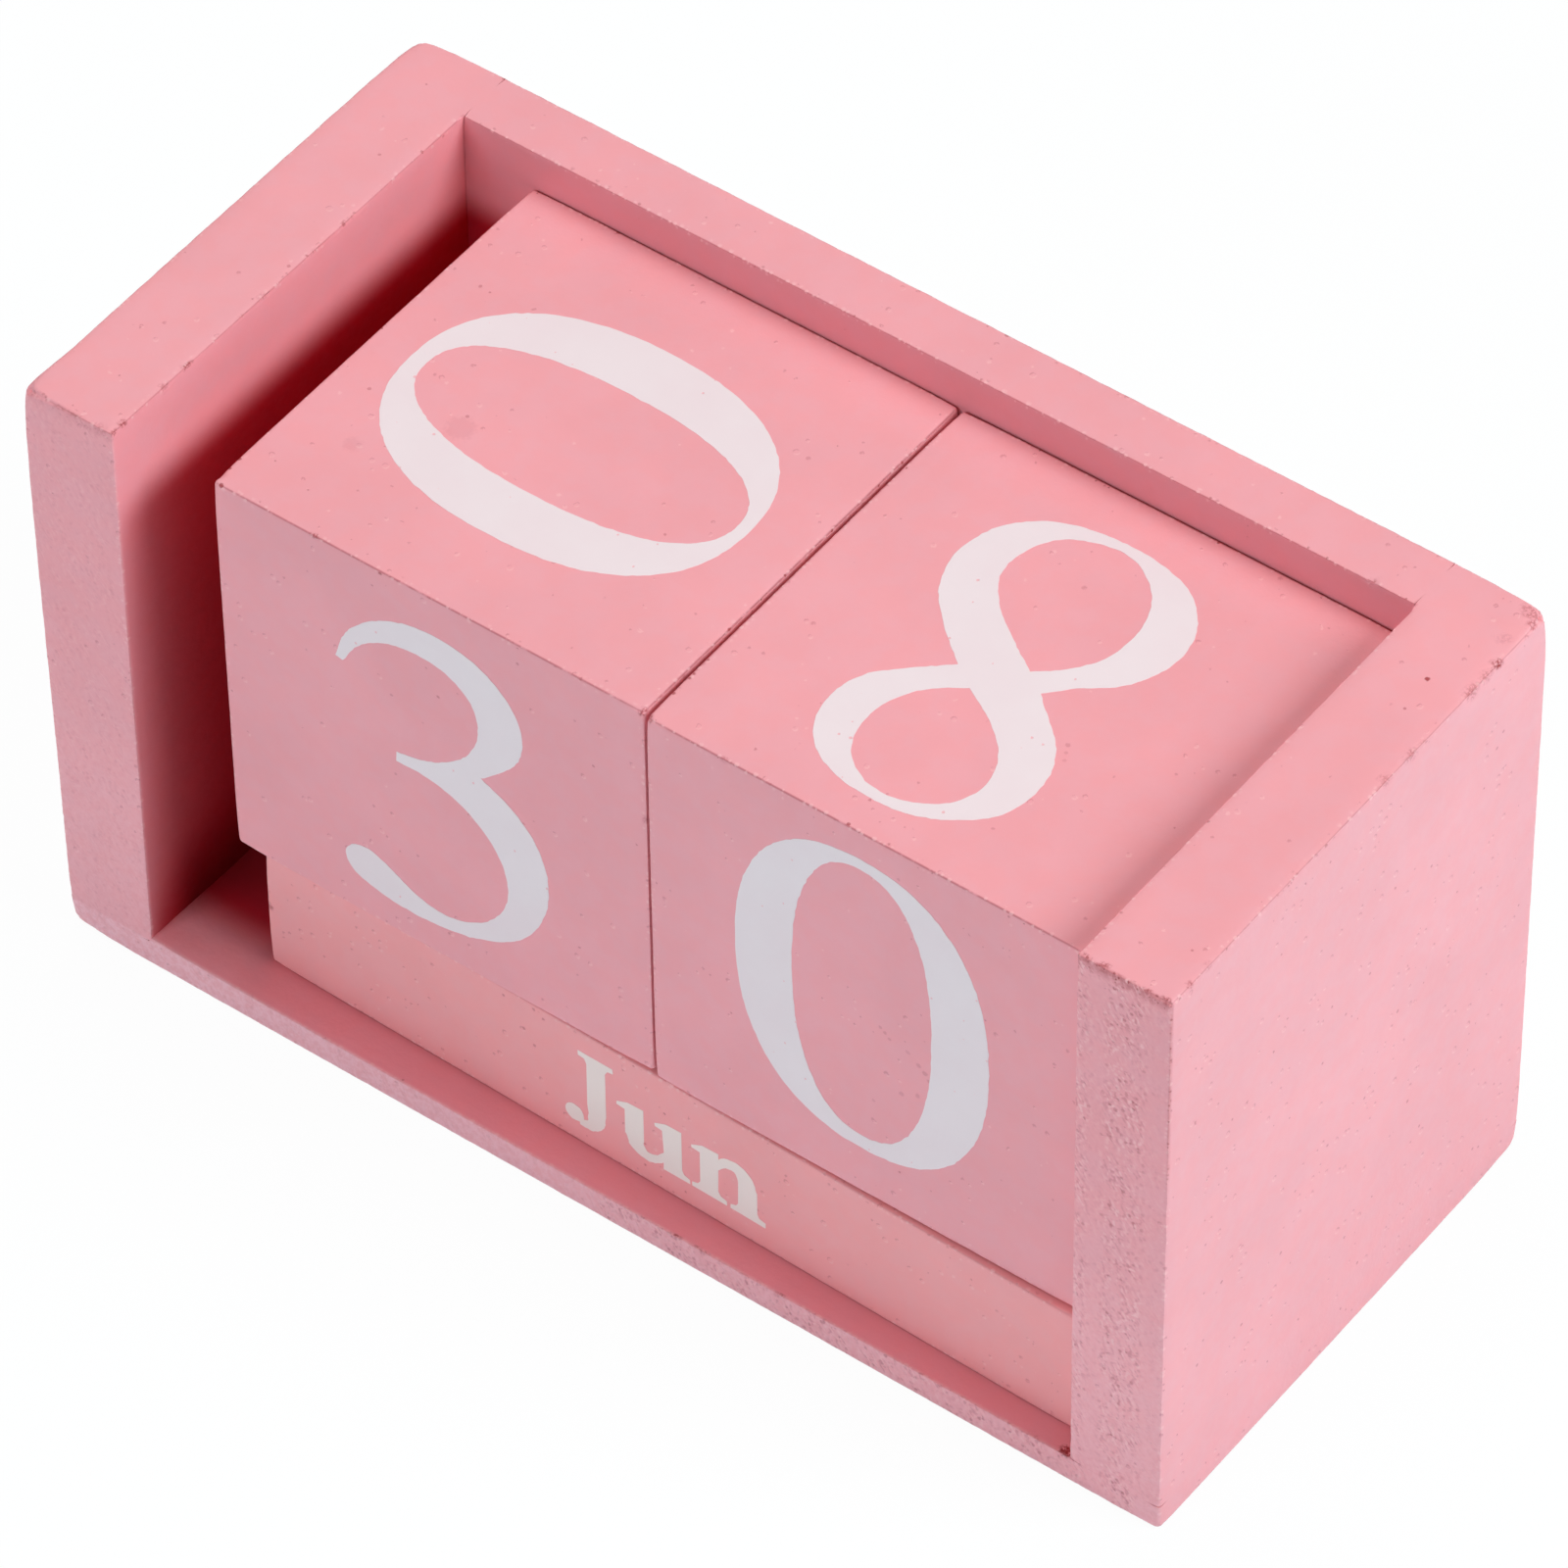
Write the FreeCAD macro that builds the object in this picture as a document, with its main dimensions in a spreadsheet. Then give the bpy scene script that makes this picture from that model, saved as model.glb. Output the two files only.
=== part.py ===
import FreeCAD, Part
import os
import Sketcher

# A perpetual desk calendar of painted board. A casing that is open at the front and the top holds three
# square month bars, side by side on its base, and two number blocks that stand on the bars.
# Millimetres, +Z up, the front faces -Y, and the origin is the middle of the casing's underside.

doc = FreeCAD.newDocument("DeskCalendar")

# Driving dimensions: alias, value, meaning.
DIMENSIONS = [
    ("side_board", 9.6, "thickness of the left and right walls"),
    ("rear_board", 6.2, "thickness of the back board"),
    ("floor_board", 3.0, "thickness of the base board"),
    ("casing_tall", 67.3, "height of the casing"),
    ("corner_radius", 1.2, "rounding of the casing's upright outer corners"),
    ("foot_radius", 1.8, "rounding round the base board's underside"),
    ("rim_radius", 0.6, "rounding of the walls' top rim and front inner edges"),
    ("front_reveal", 3.6, "how far the casing's front stands ahead of what it holds"),
    ("spare_room", 7.6, "free room beside the number blocks, to push them apart"),
    ("block_wide", 46.2, "number block along the row"),
    ("block_deep", 44.8, "number block from front to back"),
    ("block_tall", 45.3, "number block's height"),
    ("block_edge_radius", 0.5, "rounding of the number blocks' edges"),
    ("block_side_gap", 0.4, "gap from block to block, and from block to right wall"),
    ("block_back_gap", 0.1, "gap from the left block to the back board"),
    ("block_step", 0.3, "how much further ahead the right block stands"),
    ("bar_thick", 14.6, "side of a month bar's square section"),
    ("bar_play", 10.8, "how much shorter than the tray a month bar is"),
    ("bar_side_gap", 0.6, "gap from a month bar to the right wall"),
    ("bar_edge_radius", 0.5, "rounding of the month bars' edges"),
    ("bar_skew", 1.2, "degrees by which the front bar lies askew"),
    ("slide_gap", 0.1, "gap under and between pieces that slide on each other"),
]

sheet = doc.addObject("Spreadsheet::Sheet", "Sizes")
for row, (alias, value, meaning) in enumerate(DIMENSIONS, start=1):
    sheet.set(f"A{row}", meaning)
    sheet.set(f"B{row}", str(value))
    sheet.setAlias(f"B{row}", alias)
doc.recompute()

# Sizes that follow from the driving dimensions, as expressions on the sheet.
BAR_COUNT = 3
BLOCK_ROW = "(2 * Sizes.block_wide + 2 * Sizes.block_side_gap)"
BAR_ROW = f"({BAR_COUNT} * (Sizes.bar_thick + Sizes.slide_gap))"
BLOCK_REACH = "(Sizes.block_deep + Sizes.block_back_gap + Sizes.block_step)"
TRAY_WIDE = f"({BLOCK_ROW} + Sizes.spare_room)"
TRAY_DEEP = f"(max({BAR_ROW}; {BLOCK_REACH}) + Sizes.front_reveal)"
CASING_WIDE = f"({TRAY_WIDE} + 2 * Sizes.side_board)"
CASING_DEEP = f"({TRAY_DEEP} + Sizes.rear_board)"
WALL_TALL = "(Sizes.casing_tall - Sizes.floor_board)"
BAR_LONG = f"({TRAY_WIDE} - Sizes.bar_play)"

# Places of the tray's faces, and of what rests in it.
FRONT_Y = f"(-{CASING_DEEP} / 2)"
TRAY_RIGHT_X = f"({TRAY_WIDE} / 2)"
TRAY_BACK_Y = f"({FRONT_Y} + {TRAY_DEEP})"
BAR_REST_Z = "(Sizes.floor_board + Sizes.slide_gap)"
BLOCK_REST_Z = f"({BAR_REST_Z} + Sizes.bar_thick + Sizes.slide_gap)"

# Two places nearer than this are the same place when edges are picked.
SAME_PLACE = sheet.slide_gap / 100


def plane_of(body, role):
    """The body's own origin plane that has this role."""
    return next(feature for feature in body.Origin.OriginFeatures if feature.Role == role)


def rectangle(body, name, wide, deep):
    """A sketch on the body's XY plane: a rectangle from the origin, with sizes bound to the sheet."""
    sketch = body.newObject("Sketcher::SketchObject", name)
    sketch.AttachmentSupport = [(plane_of(body, "XY_Plane"), "")]
    sketch.MapMode = "FlatFace"
    unit_corners = [(0, 0), (1, 0), (1, 1), (0, 1)]
    corners = [FreeCAD.Vector(across, along, 0) for across, along in unit_corners]
    for start, end in zip(corners, corners[1:] + corners[:1]):
        sketch.addGeometry(Part.LineSegment(start, end), False)
    for side in range(4):
        sketch.addConstraint(Sketcher.Constraint("Coincident", side, 2, (side + 1) % 4, 1))
    for side in (0, 2):
        sketch.addConstraint(Sketcher.Constraint("Horizontal", side))
    for side in (1, 3):
        sketch.addConstraint(Sketcher.Constraint("Vertical", side))
    sketch.addConstraint(Sketcher.Constraint("Coincident", 0, 1, -1, 1))
    width_constraint = sketch.addConstraint(Sketcher.Constraint("DistanceX", 0, 1, 0, 2, 1))
    depth_constraint = sketch.addConstraint(Sketcher.Constraint("DistanceY", 1, 1, 1, 2, 1))
    sketch.renameConstraint(width_constraint, "wide")
    sketch.renameConstraint(depth_constraint, "deep")
    sketch.setExpression("Constraints.wide", wide)
    sketch.setExpression("Constraints.deep", deep)
    return sketch


def slab(label, wide, deep, tall):
    """A body whose first feature is a rectangle padded upwards from the body's own origin."""
    body = doc.addObject("PartDesign::Body", label)
    body.Label = label
    outline = rectangle(body, f"{label}_outline", wide, deep)
    pad = body.newObject("PartDesign::Pad", f"{label}_thickness")
    pad.Profile = outline
    pad.setExpression("Length", tall)
    doc.recompute()
    return body


def place(body, left, front, low):
    """Bind where the body's own origin stands."""
    body.setExpression("Placement.Base.x", left)
    body.setExpression("Placement.Base.y", front)
    body.setExpression("Placement.Base.z", low)


def round_edges(body, name, radius, picks):
    """Round the edges of the body's last feature that the test picks by their middle and direction."""
    last = body.Tip
    names = []
    for number, edge in enumerate(last.Shape.Edges, start=1):
        halfway = (edge.FirstParameter + edge.LastParameter) / 2
        if picks(edge.valueAt(halfway), edge.tangentAt(halfway), last.Shape.BoundBox):
            names.append(f"Edge{number}")
    fillet = body.newObject("PartDesign::Fillet", name)
    fillet.Base = (last, names)
    fillet.setExpression("Radius", radius)
    doc.recompute()


def round_all_edges(body, name, radius):
    """Round every edge of the body's last feature."""
    round_edges(body, name, radius, lambda middle, direction, box: True)


def same(first, second):
    return abs(first - second) < SAME_PLACE


def is_upright(direction):
    return same(abs(direction.z), 1)


def base_board():
    """The board under the walls, with soft upright corners and a rounded foot."""
    body = slab("base_board", CASING_WIDE, CASING_DEEP, "Sizes.floor_board")
    round_edges(body, "base_corners", "Sizes.corner_radius",
                lambda middle, direction, box: is_upright(direction))
    round_edges(body, "base_foot", "Sizes.foot_radius",
                lambda middle, direction, box: same(middle.z, box.ZMin))
    place(body, f"-{CASING_WIDE} / 2", FRONT_Y, "0")
    return body


def side_wall(label, outer_is_left):
    """A wall on the base board: two soft outer corners, and a rim rounded on every side but the inner one."""
    body = slab(label, "Sizes.side_board", CASING_DEEP, WALL_TALL)

    def outer_side(box):
        return box.XMin if outer_is_left else box.XMax

    def inner_side(box):
        return box.XMax if outer_is_left else box.XMin

    round_edges(body, f"{label}_corners", "Sizes.corner_radius",
                lambda middle, direction, box: is_upright(direction) and same(middle.x, outer_side(box)))

    def rim_or_mouth(middle, direction, box):
        on_rim = same(middle.z, box.ZMax) and not same(middle.x, inner_side(box))
        at_mouth = is_upright(direction) and same(middle.x, inner_side(box)) and same(middle.y, box.YMin)
        return on_rim or at_mouth

    round_edges(body, f"{label}_rim", "Sizes.rim_radius", rim_or_mouth)
    left = f"-{CASING_WIDE} / 2" if outer_is_left else TRAY_RIGHT_X
    place(body, left, FRONT_Y, "Sizes.floor_board")
    return body


def back_board():
    """The board between the side walls, flush with their backs, its rear rim rounded as theirs is."""
    body = slab("back_board", TRAY_WIDE, "Sizes.rear_board", WALL_TALL)
    round_edges(body, "back_rim", "Sizes.rim_radius",
                lambda middle, direction, box: same(middle.z, box.ZMax) and same(middle.y, box.YMax))
    place(body, f"-{TRAY_WIDE} / 2", TRAY_BACK_Y, "Sizes.floor_board")
    return body


def number_block(label, blocks_to_the_right, step_ahead):
    """A block with a number on each face, which stands on the month bars against its right neighbour."""
    body = slab(label, "Sizes.block_wide", "Sizes.block_deep", "Sizes.block_tall")
    round_all_edges(body, f"{label}_edges", "Sizes.block_edge_radius")
    places_along = blocks_to_the_right + 1
    left = f"{TRAY_RIGHT_X} - {places_along} * (Sizes.block_wide + Sizes.block_side_gap)"
    front = f"{TRAY_BACK_Y} - Sizes.block_back_gap - Sizes.block_deep - {step_ahead}"
    place(body, left, front, BLOCK_REST_Z)
    return body


def month_bar(label, bars_behind, skew):
    """A square bar across the tray. Where it lies askew, it turns about its rear left corner, which stays put."""
    body = slab(label, BAR_LONG, "Sizes.bar_thick", "Sizes.bar_thick")
    round_all_edges(body, f"{label}_edges", "Sizes.bar_edge_radius")
    rear_left_x = f"{TRAY_RIGHT_X} - Sizes.bar_side_gap - {BAR_LONG}"
    rear_left_y = f"{TRAY_BACK_Y} - Sizes.slide_gap - {bars_behind} * (Sizes.bar_thick + Sizes.slide_gap)"
    left = f"{rear_left_x} - Sizes.bar_thick * sin({skew} * 1 deg)"
    front = f"{rear_left_y} - Sizes.bar_thick * cos({skew} * 1 deg)"
    body.Placement = FreeCAD.Placement(FreeCAD.Vector(), FreeCAD.Rotation(FreeCAD.Vector(0, 0, 1), 0))
    body.setExpression("Placement.Rotation.Angle", f"-{skew}")
    place(body, left, front, BAR_REST_Z)
    return body


pieces = [
    base_board(),
    side_wall("left_wall", outer_is_left=True),
    side_wall("right_wall", outer_is_left=False),
    back_board(),
    number_block("left_number_block", blocks_to_the_right=1, step_ahead="0"),
    number_block("right_number_block", blocks_to_the_right=0, step_ahead="Sizes.block_step"),
    month_bar("rear_month_bar", bars_behind=0, skew="0"),
    month_bar("middle_month_bar", bars_behind=1, skew="0"),
    month_bar("front_month_bar", bars_behind=2, skew="Sizes.bar_skew"),
]

doc.recompute()

for item in doc.Objects:
    if "Invalid" in item.State or "Error" in item.State:
        raise RuntimeError(f"{item.Name} failed: {item.State}")

os.makedirs("parts", exist_ok=True)
for piece in pieces:
    shape = piece.Shape
    if shape.isNull() or not shape.isValid() or len(shape.Solids) != 1:
        raise RuntimeError(f"{piece.Label} is not one valid solid")
    shape.exportStep(f"parts/{piece.Label}.step")
    box = shape.BoundBox
    low = [round(value, 2) for value in (box.XMin, box.YMin, box.ZMin)]
    high = [round(value, 2) for value in (box.XMax, box.YMax, box.ZMax)]
    print(piece.Label, "from", low, "to", high, "volume", round(shape.Volume, 1))
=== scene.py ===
import math

import bpy
from mathutils import Matrix, Vector, geometry


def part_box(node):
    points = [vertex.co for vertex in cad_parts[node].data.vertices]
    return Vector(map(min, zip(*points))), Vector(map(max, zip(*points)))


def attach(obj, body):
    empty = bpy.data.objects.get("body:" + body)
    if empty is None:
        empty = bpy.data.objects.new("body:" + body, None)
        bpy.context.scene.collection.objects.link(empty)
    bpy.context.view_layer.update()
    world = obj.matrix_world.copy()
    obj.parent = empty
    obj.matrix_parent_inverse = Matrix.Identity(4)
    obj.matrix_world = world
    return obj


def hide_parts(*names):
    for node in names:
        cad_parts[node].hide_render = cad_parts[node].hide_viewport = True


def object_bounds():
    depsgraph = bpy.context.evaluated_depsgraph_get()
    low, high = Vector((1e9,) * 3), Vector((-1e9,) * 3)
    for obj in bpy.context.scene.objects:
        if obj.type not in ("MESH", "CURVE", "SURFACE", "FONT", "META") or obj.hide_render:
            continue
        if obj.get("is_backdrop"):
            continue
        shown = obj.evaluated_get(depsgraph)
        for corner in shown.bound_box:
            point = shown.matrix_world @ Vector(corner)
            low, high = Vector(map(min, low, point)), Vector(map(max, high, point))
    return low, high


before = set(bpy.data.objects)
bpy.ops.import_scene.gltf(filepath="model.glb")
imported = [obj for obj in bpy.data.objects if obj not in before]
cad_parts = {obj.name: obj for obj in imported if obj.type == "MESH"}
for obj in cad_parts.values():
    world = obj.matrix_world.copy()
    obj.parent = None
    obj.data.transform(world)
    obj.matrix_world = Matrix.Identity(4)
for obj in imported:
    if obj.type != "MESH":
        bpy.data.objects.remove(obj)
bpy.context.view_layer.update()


# The studio. The calendar stands on a plain white sheet, seen from its front right and above through
# a long lens. A soft key lamp on its right, a front lamp and a lamp overhead do the work, and weaker
# lamps near the table on its right and behind it fill what is left.

MM = 0.001
LENS_MM = 243.58
SENSOR_MM = 36.0
EYE_MM = (381.32, -500.98, 705.97)
FRAME_RIGHT = (0.80209183, 0.59711861, -0.00990238)
FRAME_DOWN = (0.43100145, -0.59027001, -0.68250939)
FRAME_AHEAD = (-0.41338413, 0.54316727, -0.73080974)
SHEET_HALF = 2.5
SHEET_LEVEL = -0.05 * MM
SHEET_WHITE = (0.90, 0.97, 1.0, 1.0)
SHEET_GLOW = 0.96
NEAREST_SEEN = 0.05
FARTHEST_SEEN = 20.0
WHITE = (1.0, 1.0, 1.0, 1.0)
ROOM_STRENGTH = 0.02


def connect(value, socket):
    """Link an output to an input, or write a plain value on it."""
    if isinstance(value, bpy.types.NodeSocket):
        socket.id_data.links.new(value, socket)
    else:
        socket.default_value = value


def step(tree, kind, inputs=None, **settings):
    """Add one node, with its settings and its filled inputs."""
    node = tree.nodes.new(kind)
    for name, value in settings.items():
        setattr(node, name, value)
    for key, value in (inputs or {}).items():
        connect(value, node.inputs[key])
    return node


def follow(kind, inputs, **settings):
    """Add one node to the tree that the outputs among its inputs belong to."""
    tree = next(value.id_data for value in inputs.values() if isinstance(value, bpy.types.NodeSocket))
    return step(tree, kind, inputs, **settings)


def maths(operation, *values):
    """The result of one operation on numbers, with any third and later one taken in after the first two."""
    result = follow("ShaderNodeMath", dict(enumerate(values[:2])), operation=operation).outputs[0]
    return maths(operation, result, *values[2:]) if len(values) > 2 else result


def times(*values):
    """The product of numbers."""
    return maths("MULTIPLY", *values)


def plus(*values):
    """The sum of numbers."""
    return maths("ADD", *values)


def minus(*values):
    """The first number less the others."""
    return maths("SUBTRACT", *values)


def vector_maths(operation, *values):
    """The vector that one operation on vectors gives."""
    return follow("ShaderNodeVectorMath", dict(enumerate(values)), operation=operation).outputs["Vector"]


def ramp(value, low, high, start=0.0, end=1.0):
    """A smooth rise from start to end, while the value goes from low to high."""
    inputs = {"Value": value, "From Min": low, "From Max": high, "To Min": start, "To Max": end}
    return follow("ShaderNodeMapRange", inputs, interpolation_type="SMOOTHSTEP").outputs["Result"]


def new_material(name):
    """A node material with only its output, and that output's surface socket."""
    material = bpy.data.materials.new(name)
    material.use_nodes = True
    material.node_tree.nodes.clear()
    output = step(material.node_tree, "ShaderNodeOutputMaterial")
    return material, material.node_tree, output.inputs["Surface"]


def seen_directly(tree):
    """1 for a ray that shows the surroundings as such: to the camera, in a gloss or through glass."""
    path = step(tree, "ShaderNodeLightPath")
    mirrored = maths("MAXIMUM", path.outputs["Is Glossy Ray"], path.outputs["Is Transmission Ray"])
    return maths("MAXIMUM", path.outputs["Is Camera Ray"], mirrored)


camera_data = bpy.data.cameras.new("camera")
camera_data.lens = LENS_MM
camera_data.sensor_width = SENSOR_MM
camera_data.clip_start = NEAREST_SEEN
camera_data.clip_end = FARTHEST_SEEN
camera = bpy.data.objects.new("camera", camera_data)
bpy.context.scene.collection.objects.link(camera)
turned = Matrix((FRAME_RIGHT, [-part for part in FRAME_DOWN], [-part for part in FRAME_AHEAD])).transposed()
camera.matrix_world = Matrix.Translation(Vector(EYE_MM) * MM) @ turned.to_4x4()
bpy.context.scene.camera = camera

sheet_mesh = bpy.data.meshes.new("white_sheet")
sheet_signs = ((-1, -1), (1, -1), (1, 1), (-1, 1))
sheet_corners = [(x * SHEET_HALF, y * SHEET_HALF, SHEET_LEVEL) for x, y in sheet_signs]
sheet_mesh.from_pydata(sheet_corners, [], [(0, 1, 2, 3)])
sheet = bpy.data.objects.new("white_sheet", sheet_mesh)
bpy.context.scene.collection.objects.link(sheet)
sheet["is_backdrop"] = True

sheet_material, tree, surface = new_material("white_sheet")
paper = step(tree, "ShaderNodeBsdfDiffuse", {"Color": SHEET_WHITE})
glow = step(tree, "ShaderNodeEmission", {"Color": WHITE, "Strength": 1.0})
share = times(seen_directly(tree), SHEET_GLOW)
mix = step(tree, "ShaderNodeMixShader", {0: share, 1: paper.outputs[0], 2: glow.outputs[0]})
connect(mix.outputs[0], surface)
sheet_mesh.materials.append(sheet_material)

room = bpy.data.worlds.new("pale room")
room.use_nodes = True
tree = room.node_tree
tree.nodes.clear()
fill = step(tree, "ShaderNodeBackground", {"Color": WHITE, "Strength": ROOM_STRENGTH})
white = step(tree, "ShaderNodeBackground", {"Color": WHITE, "Strength": 1.0})
mix = step(tree, "ShaderNodeMixShader", {0: seen_directly(tree), 1: fill.outputs[0], 2: white.outputs[0]})
step(tree, "ShaderNodeOutputWorld", {"Surface": mix.outputs[0]})
bpy.context.scene.world = room


LAMP_TARGET = Vector((0.0, 0.0, 0.03))
LAMP_DISTANCE = 1.2


def hang_lamp(name, round_angle, rise, size, watts, colour):
    """A square soft lamp that faces the calendar, at an angle round it from its right side and at a rise."""
    round_angle, rise = math.radians(round_angle), math.radians(rise)
    level = math.cos(rise)
    away = Vector((level * math.cos(round_angle), level * math.sin(round_angle), math.sin(rise)))
    lamp = bpy.data.lights.new(name, "AREA")
    lamp.shape = "SQUARE"
    lamp.size = size
    lamp.energy = watts
    lamp.color = colour
    holder = bpy.data.objects.new(name, lamp)
    holder.location = LAMP_TARGET + away * LAMP_DISTANCE
    holder.rotation_mode = "QUATERNION"
    holder.rotation_quaternion = (-away).to_track_quat("-Z", "Y")
    bpy.context.scene.collection.objects.link(holder)


hang_lamp("key lamp", 15, 36, 0.64, 12.4, (0.83, 0.98, 0.975))
hang_lamp("front lamp", -100, 22, 0.60, 6.6, (0.76, 0.95, 1.0))
hang_lamp("top lamp", 150, 75, 0.70, 6.2, (1.0, 0.96, 0.925))
hang_lamp("side lamp", 10, 8, 0.50, 1.7, (0.05, 0.88, 0.98))
hang_lamp("back lamp", 130, 12, 0.60, 2.4, (1.0, 1.0, 1.0))

bpy.context.scene.view_settings.view_transform = "Standard"


# The casing. Four pieces of 3 to 10 mm fibre board, sawn square, rubbed down and glued edge to edge:
# a base board, two side walls on it, and a back board between them. The whole is then sprayed with
# one coat of matt paint, which the sawn front edges drink in and show rough.

CELL = 0.45 * MM
CROWDING = 0.75
CASING_CORNER = 0.15 * MM
CASING_BACK_CORNER = 0.45 * MM
CASING_FOOT = 0.12 * MM
CASING_RIM = 0.16 * MM
CASING_CREASE = 0.12 * MM
CASING_VERTEX = 2.0 * MM
VERTEX_REACH = 1.9 * MM
CRISP_WITHIN = 4.0 * MM
ROUND_BEYOND = 20.0 * MM
CRISP_SHARE = 0.22
PAINT = (0.910, 0.355, 0.393, 1.0)
# Thin paint for dark specks, pits and edge lines, and the painted shadow on the shaded sides of crumbs and
# crust.
THIN_PAINT_AND_SHADOW = (0.50, 0.11, 0.13, 1.0)
# Painted bounce light: a redder copy of the paint on the tray's inner faces.
INNER_BOUNCE_PAINT = (0.945, 0.315, 0.357, 1.0)
# Painted shade: the dark red deep inside the tray, between the walls and the blocks.
TRAY_SHADE_PAINT = (0.54, 0.008, 0.024, 1.0)
BARE_BOARD = (0.360, 0.035, 0.040, 1.0)
PAINT_SPECULAR = 0.2
# Painted highlight: the light colour on the lit sides of crumbs and crust, and of the bright grains.
HIGHLIGHT_PAINT = (1.0, 0.53, 0.55, 1.0)
SAWN_PAINT = (0.66, 0.20, 0.22, 1.0)
# Lighter paint for milky patches on the sawn fronts, and for the painted bounce light low on them.
SAWN_MILKY_AND_BOUNCE = (1.0, 0.52, 0.58, 1.0)
WARM_TINT = (1.009, 0.985, 0.980, 1.0)
COOL_TINT = (0.991, 1.015, 1.025, 1.0)
# Clouds in the wear and the paint: scale, detail, roughness, and for most a seed.
COARSE_WEAR = (260.0, 3.0, 0.6)
FINE_WEAR = (1500.0, 2.0, 0.6)
RAGGED_KNOCK = (2200.0, 2.0, 0.6)
WAVER = (330.0, 2.0, 0.5)
FRAY = (1900.0, 2.0, 0.6, 5.0)
SAWN_LUMPS = (620.0, 2.0, 0.6, 3.0)
BLOTCHES = (60.0, 3.0, 0.55, 1.0)
TINTS = (420.0, 2.0, 0.5, 3.0)
MILKY_PATCHES = (1800.0, 3.0, 0.7, 7.0)
SPECK_CROWDS = (130.0, 2.0, 0.5, 2.0)
BREAKS = (900.0, 3.0, 0.65, 5.0)
MOTTLES = (3600.0, 2.0, 0.6, 9.0)
CRUST_STRIPS = (500.0, 2.0, 0.5, 8.0)
BAND_CLOUDS = (1700.0, 3.0, 0.7, 6.0)
CRUST_RISES = (2300.0, 1.5, 0.5, 4.0, 0.3)
PEEL = (1500.0, 3.0, 0.6, 2.0)
RUBBLE = (3200.0, 2.0, 0.6, 6.0)
RAGGED_SPOTS = (3000.0, 2.0, 0.6, 1.0)
# Specks in the paint: scale, share of the cells that are filled, and size.
DOT_SCALE = 900.0
DOT_SIZE = 0.12
CRUMB_SCALE = 1500.0
CRUMB_SIZE = 0.34
BRIGHT_GRAINS = (1700.0, 0.9, 0.30)
CHIPS = (1500.0, 0.12, 0.26)
BAND_SPECKS = (2000.0, 0.9, 0.30)
CRUST_PITS = (1500.0, 0.7, 0.22)
OTHER_SPECKS = (0.37, 0.11, 0.53)
CRUMB_SHIFT = (-0.05 * MM, 0.04 * MM, 0.06 * MM)
STRETCH_FADE = 0.5 * MM
FACE_FADE = (0.1 * MM, 0.3 * MM)
# Depths below the rim where the painted shade in the tray is full, and where it ends.
TRAY_DIM_DEPTH = (12.5 * MM, 8.0 * MM)
# Painted shade: on the base along the foot of the front bar, low on the walls, towards the back of the floor
# and on the back board.
CONTACT_REACH = 1.2 * MM
CONTACT_DARK = 0.07
CONTACT_LEFT_END = -40.6 * MM
FOOT_DARK = 0.55
REAR_DARK = 0.35
BACK_DARK = 0.13
SHARP_ANGLE = math.radians(65)
TINY = 1e-9  # keeps a length that something is divided by off zero
HAIR = 1e-7
FACES = {"left": (0, 0), "right": (0, 1), "front": (1, 0), "back": (1, 1), "bottom": (2, 0), "top": (2, 1)}


def new_group(name, kind, inputs, outputs):
    """A node group, its inputs and its outputs. Each is named, with its number, its colour or its kind."""
    group = bpy.data.node_groups.new(name, kind)
    for way, sockets in (("INPUT", inputs), ("OUTPUT", outputs)):
        for label, value in sockets.items():
            socket = value if isinstance(value, str) else {float: "Float", tuple: "Color"}[type(value)]
            made = group.interface.new_socket(label, in_out=way, socket_type="NodeSocket" + socket)
            if socket != value:
                made.default_value = value
    return group, group.nodes.new("NodeGroupInput").outputs, group.nodes.new("NodeGroupOutput").inputs


def soften_edge_group():
    """Turns the square edge between two faces into a quarter round, from a point's distances to the two."""
    sides = ("Off Face", "Off Other")
    inputs = {"Off Face": 0.0, "Off Other": 0.0, "Radius": 0.0}
    tree, given, wanted = new_group("soften edge", "GeometryNodeTree", inputs, dict.fromkeys(sides, "Float"))
    within = [maths("MAXIMUM", minus(given["Radius"], given[side]), 0.0) for side in sides]
    reach = maths("SQRT", plus(*[times(part, part) for part in within]))
    share = maths("DIVIDE", maths("MAXIMUM", *within), maths("MAXIMUM", reach, TINY))
    share = minus(1.0, share)
    for side, part in zip(sides, within):
        connect(plus(given[side], times(part, share)), wanted[side])
    return tree


soften_edge = soften_edge_group()


def off_face(face, places, lows, highs):
    """How far a point is inside one face of the box."""
    axis, far = FACES[face]
    return minus(highs[axis], places[axis]) if far else minus(places[axis], lows[axis])


def along_stretch(places, stretch):
    """1 along the stretch of an edge that lies free, and 0 where another board takes over."""
    axis, start, end = stretch
    after = ramp(places[axis], start - STRETCH_FADE / 2, start + STRETCH_FADE / 2)
    before = ramp(places[axis], end - STRETCH_FADE / 2, end + STRETCH_FADE / 2, 1.0, 0.0)
    return times(after, before)


def split(vector):
    """The three parts of a vector."""
    return list(follow("ShaderNodeSeparateXYZ", {0: vector}).outputs)


def join(parts):
    """A vector of three parts."""
    return follow("ShaderNodeCombineXYZ", dict(enumerate(parts))).outputs[0]


def distance(first, second):
    """How far two places are from each other."""
    return follow("ShaderNodeVectorMath", {0: first, 1: second}, operation="DISTANCE").outputs["Value"]


def scaled(vector, share):
    """A vector made longer or shorter by a number."""
    return follow("ShaderNodeVectorMath", {0: vector, "Scale": share}, operation="SCALE").outputs["Vector"]


def fading(away, reach):
    """1 at no distance, and next to nothing a few times the reach away."""
    return maths("EXPONENT", maths("DIVIDE", away, -reach))


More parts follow.
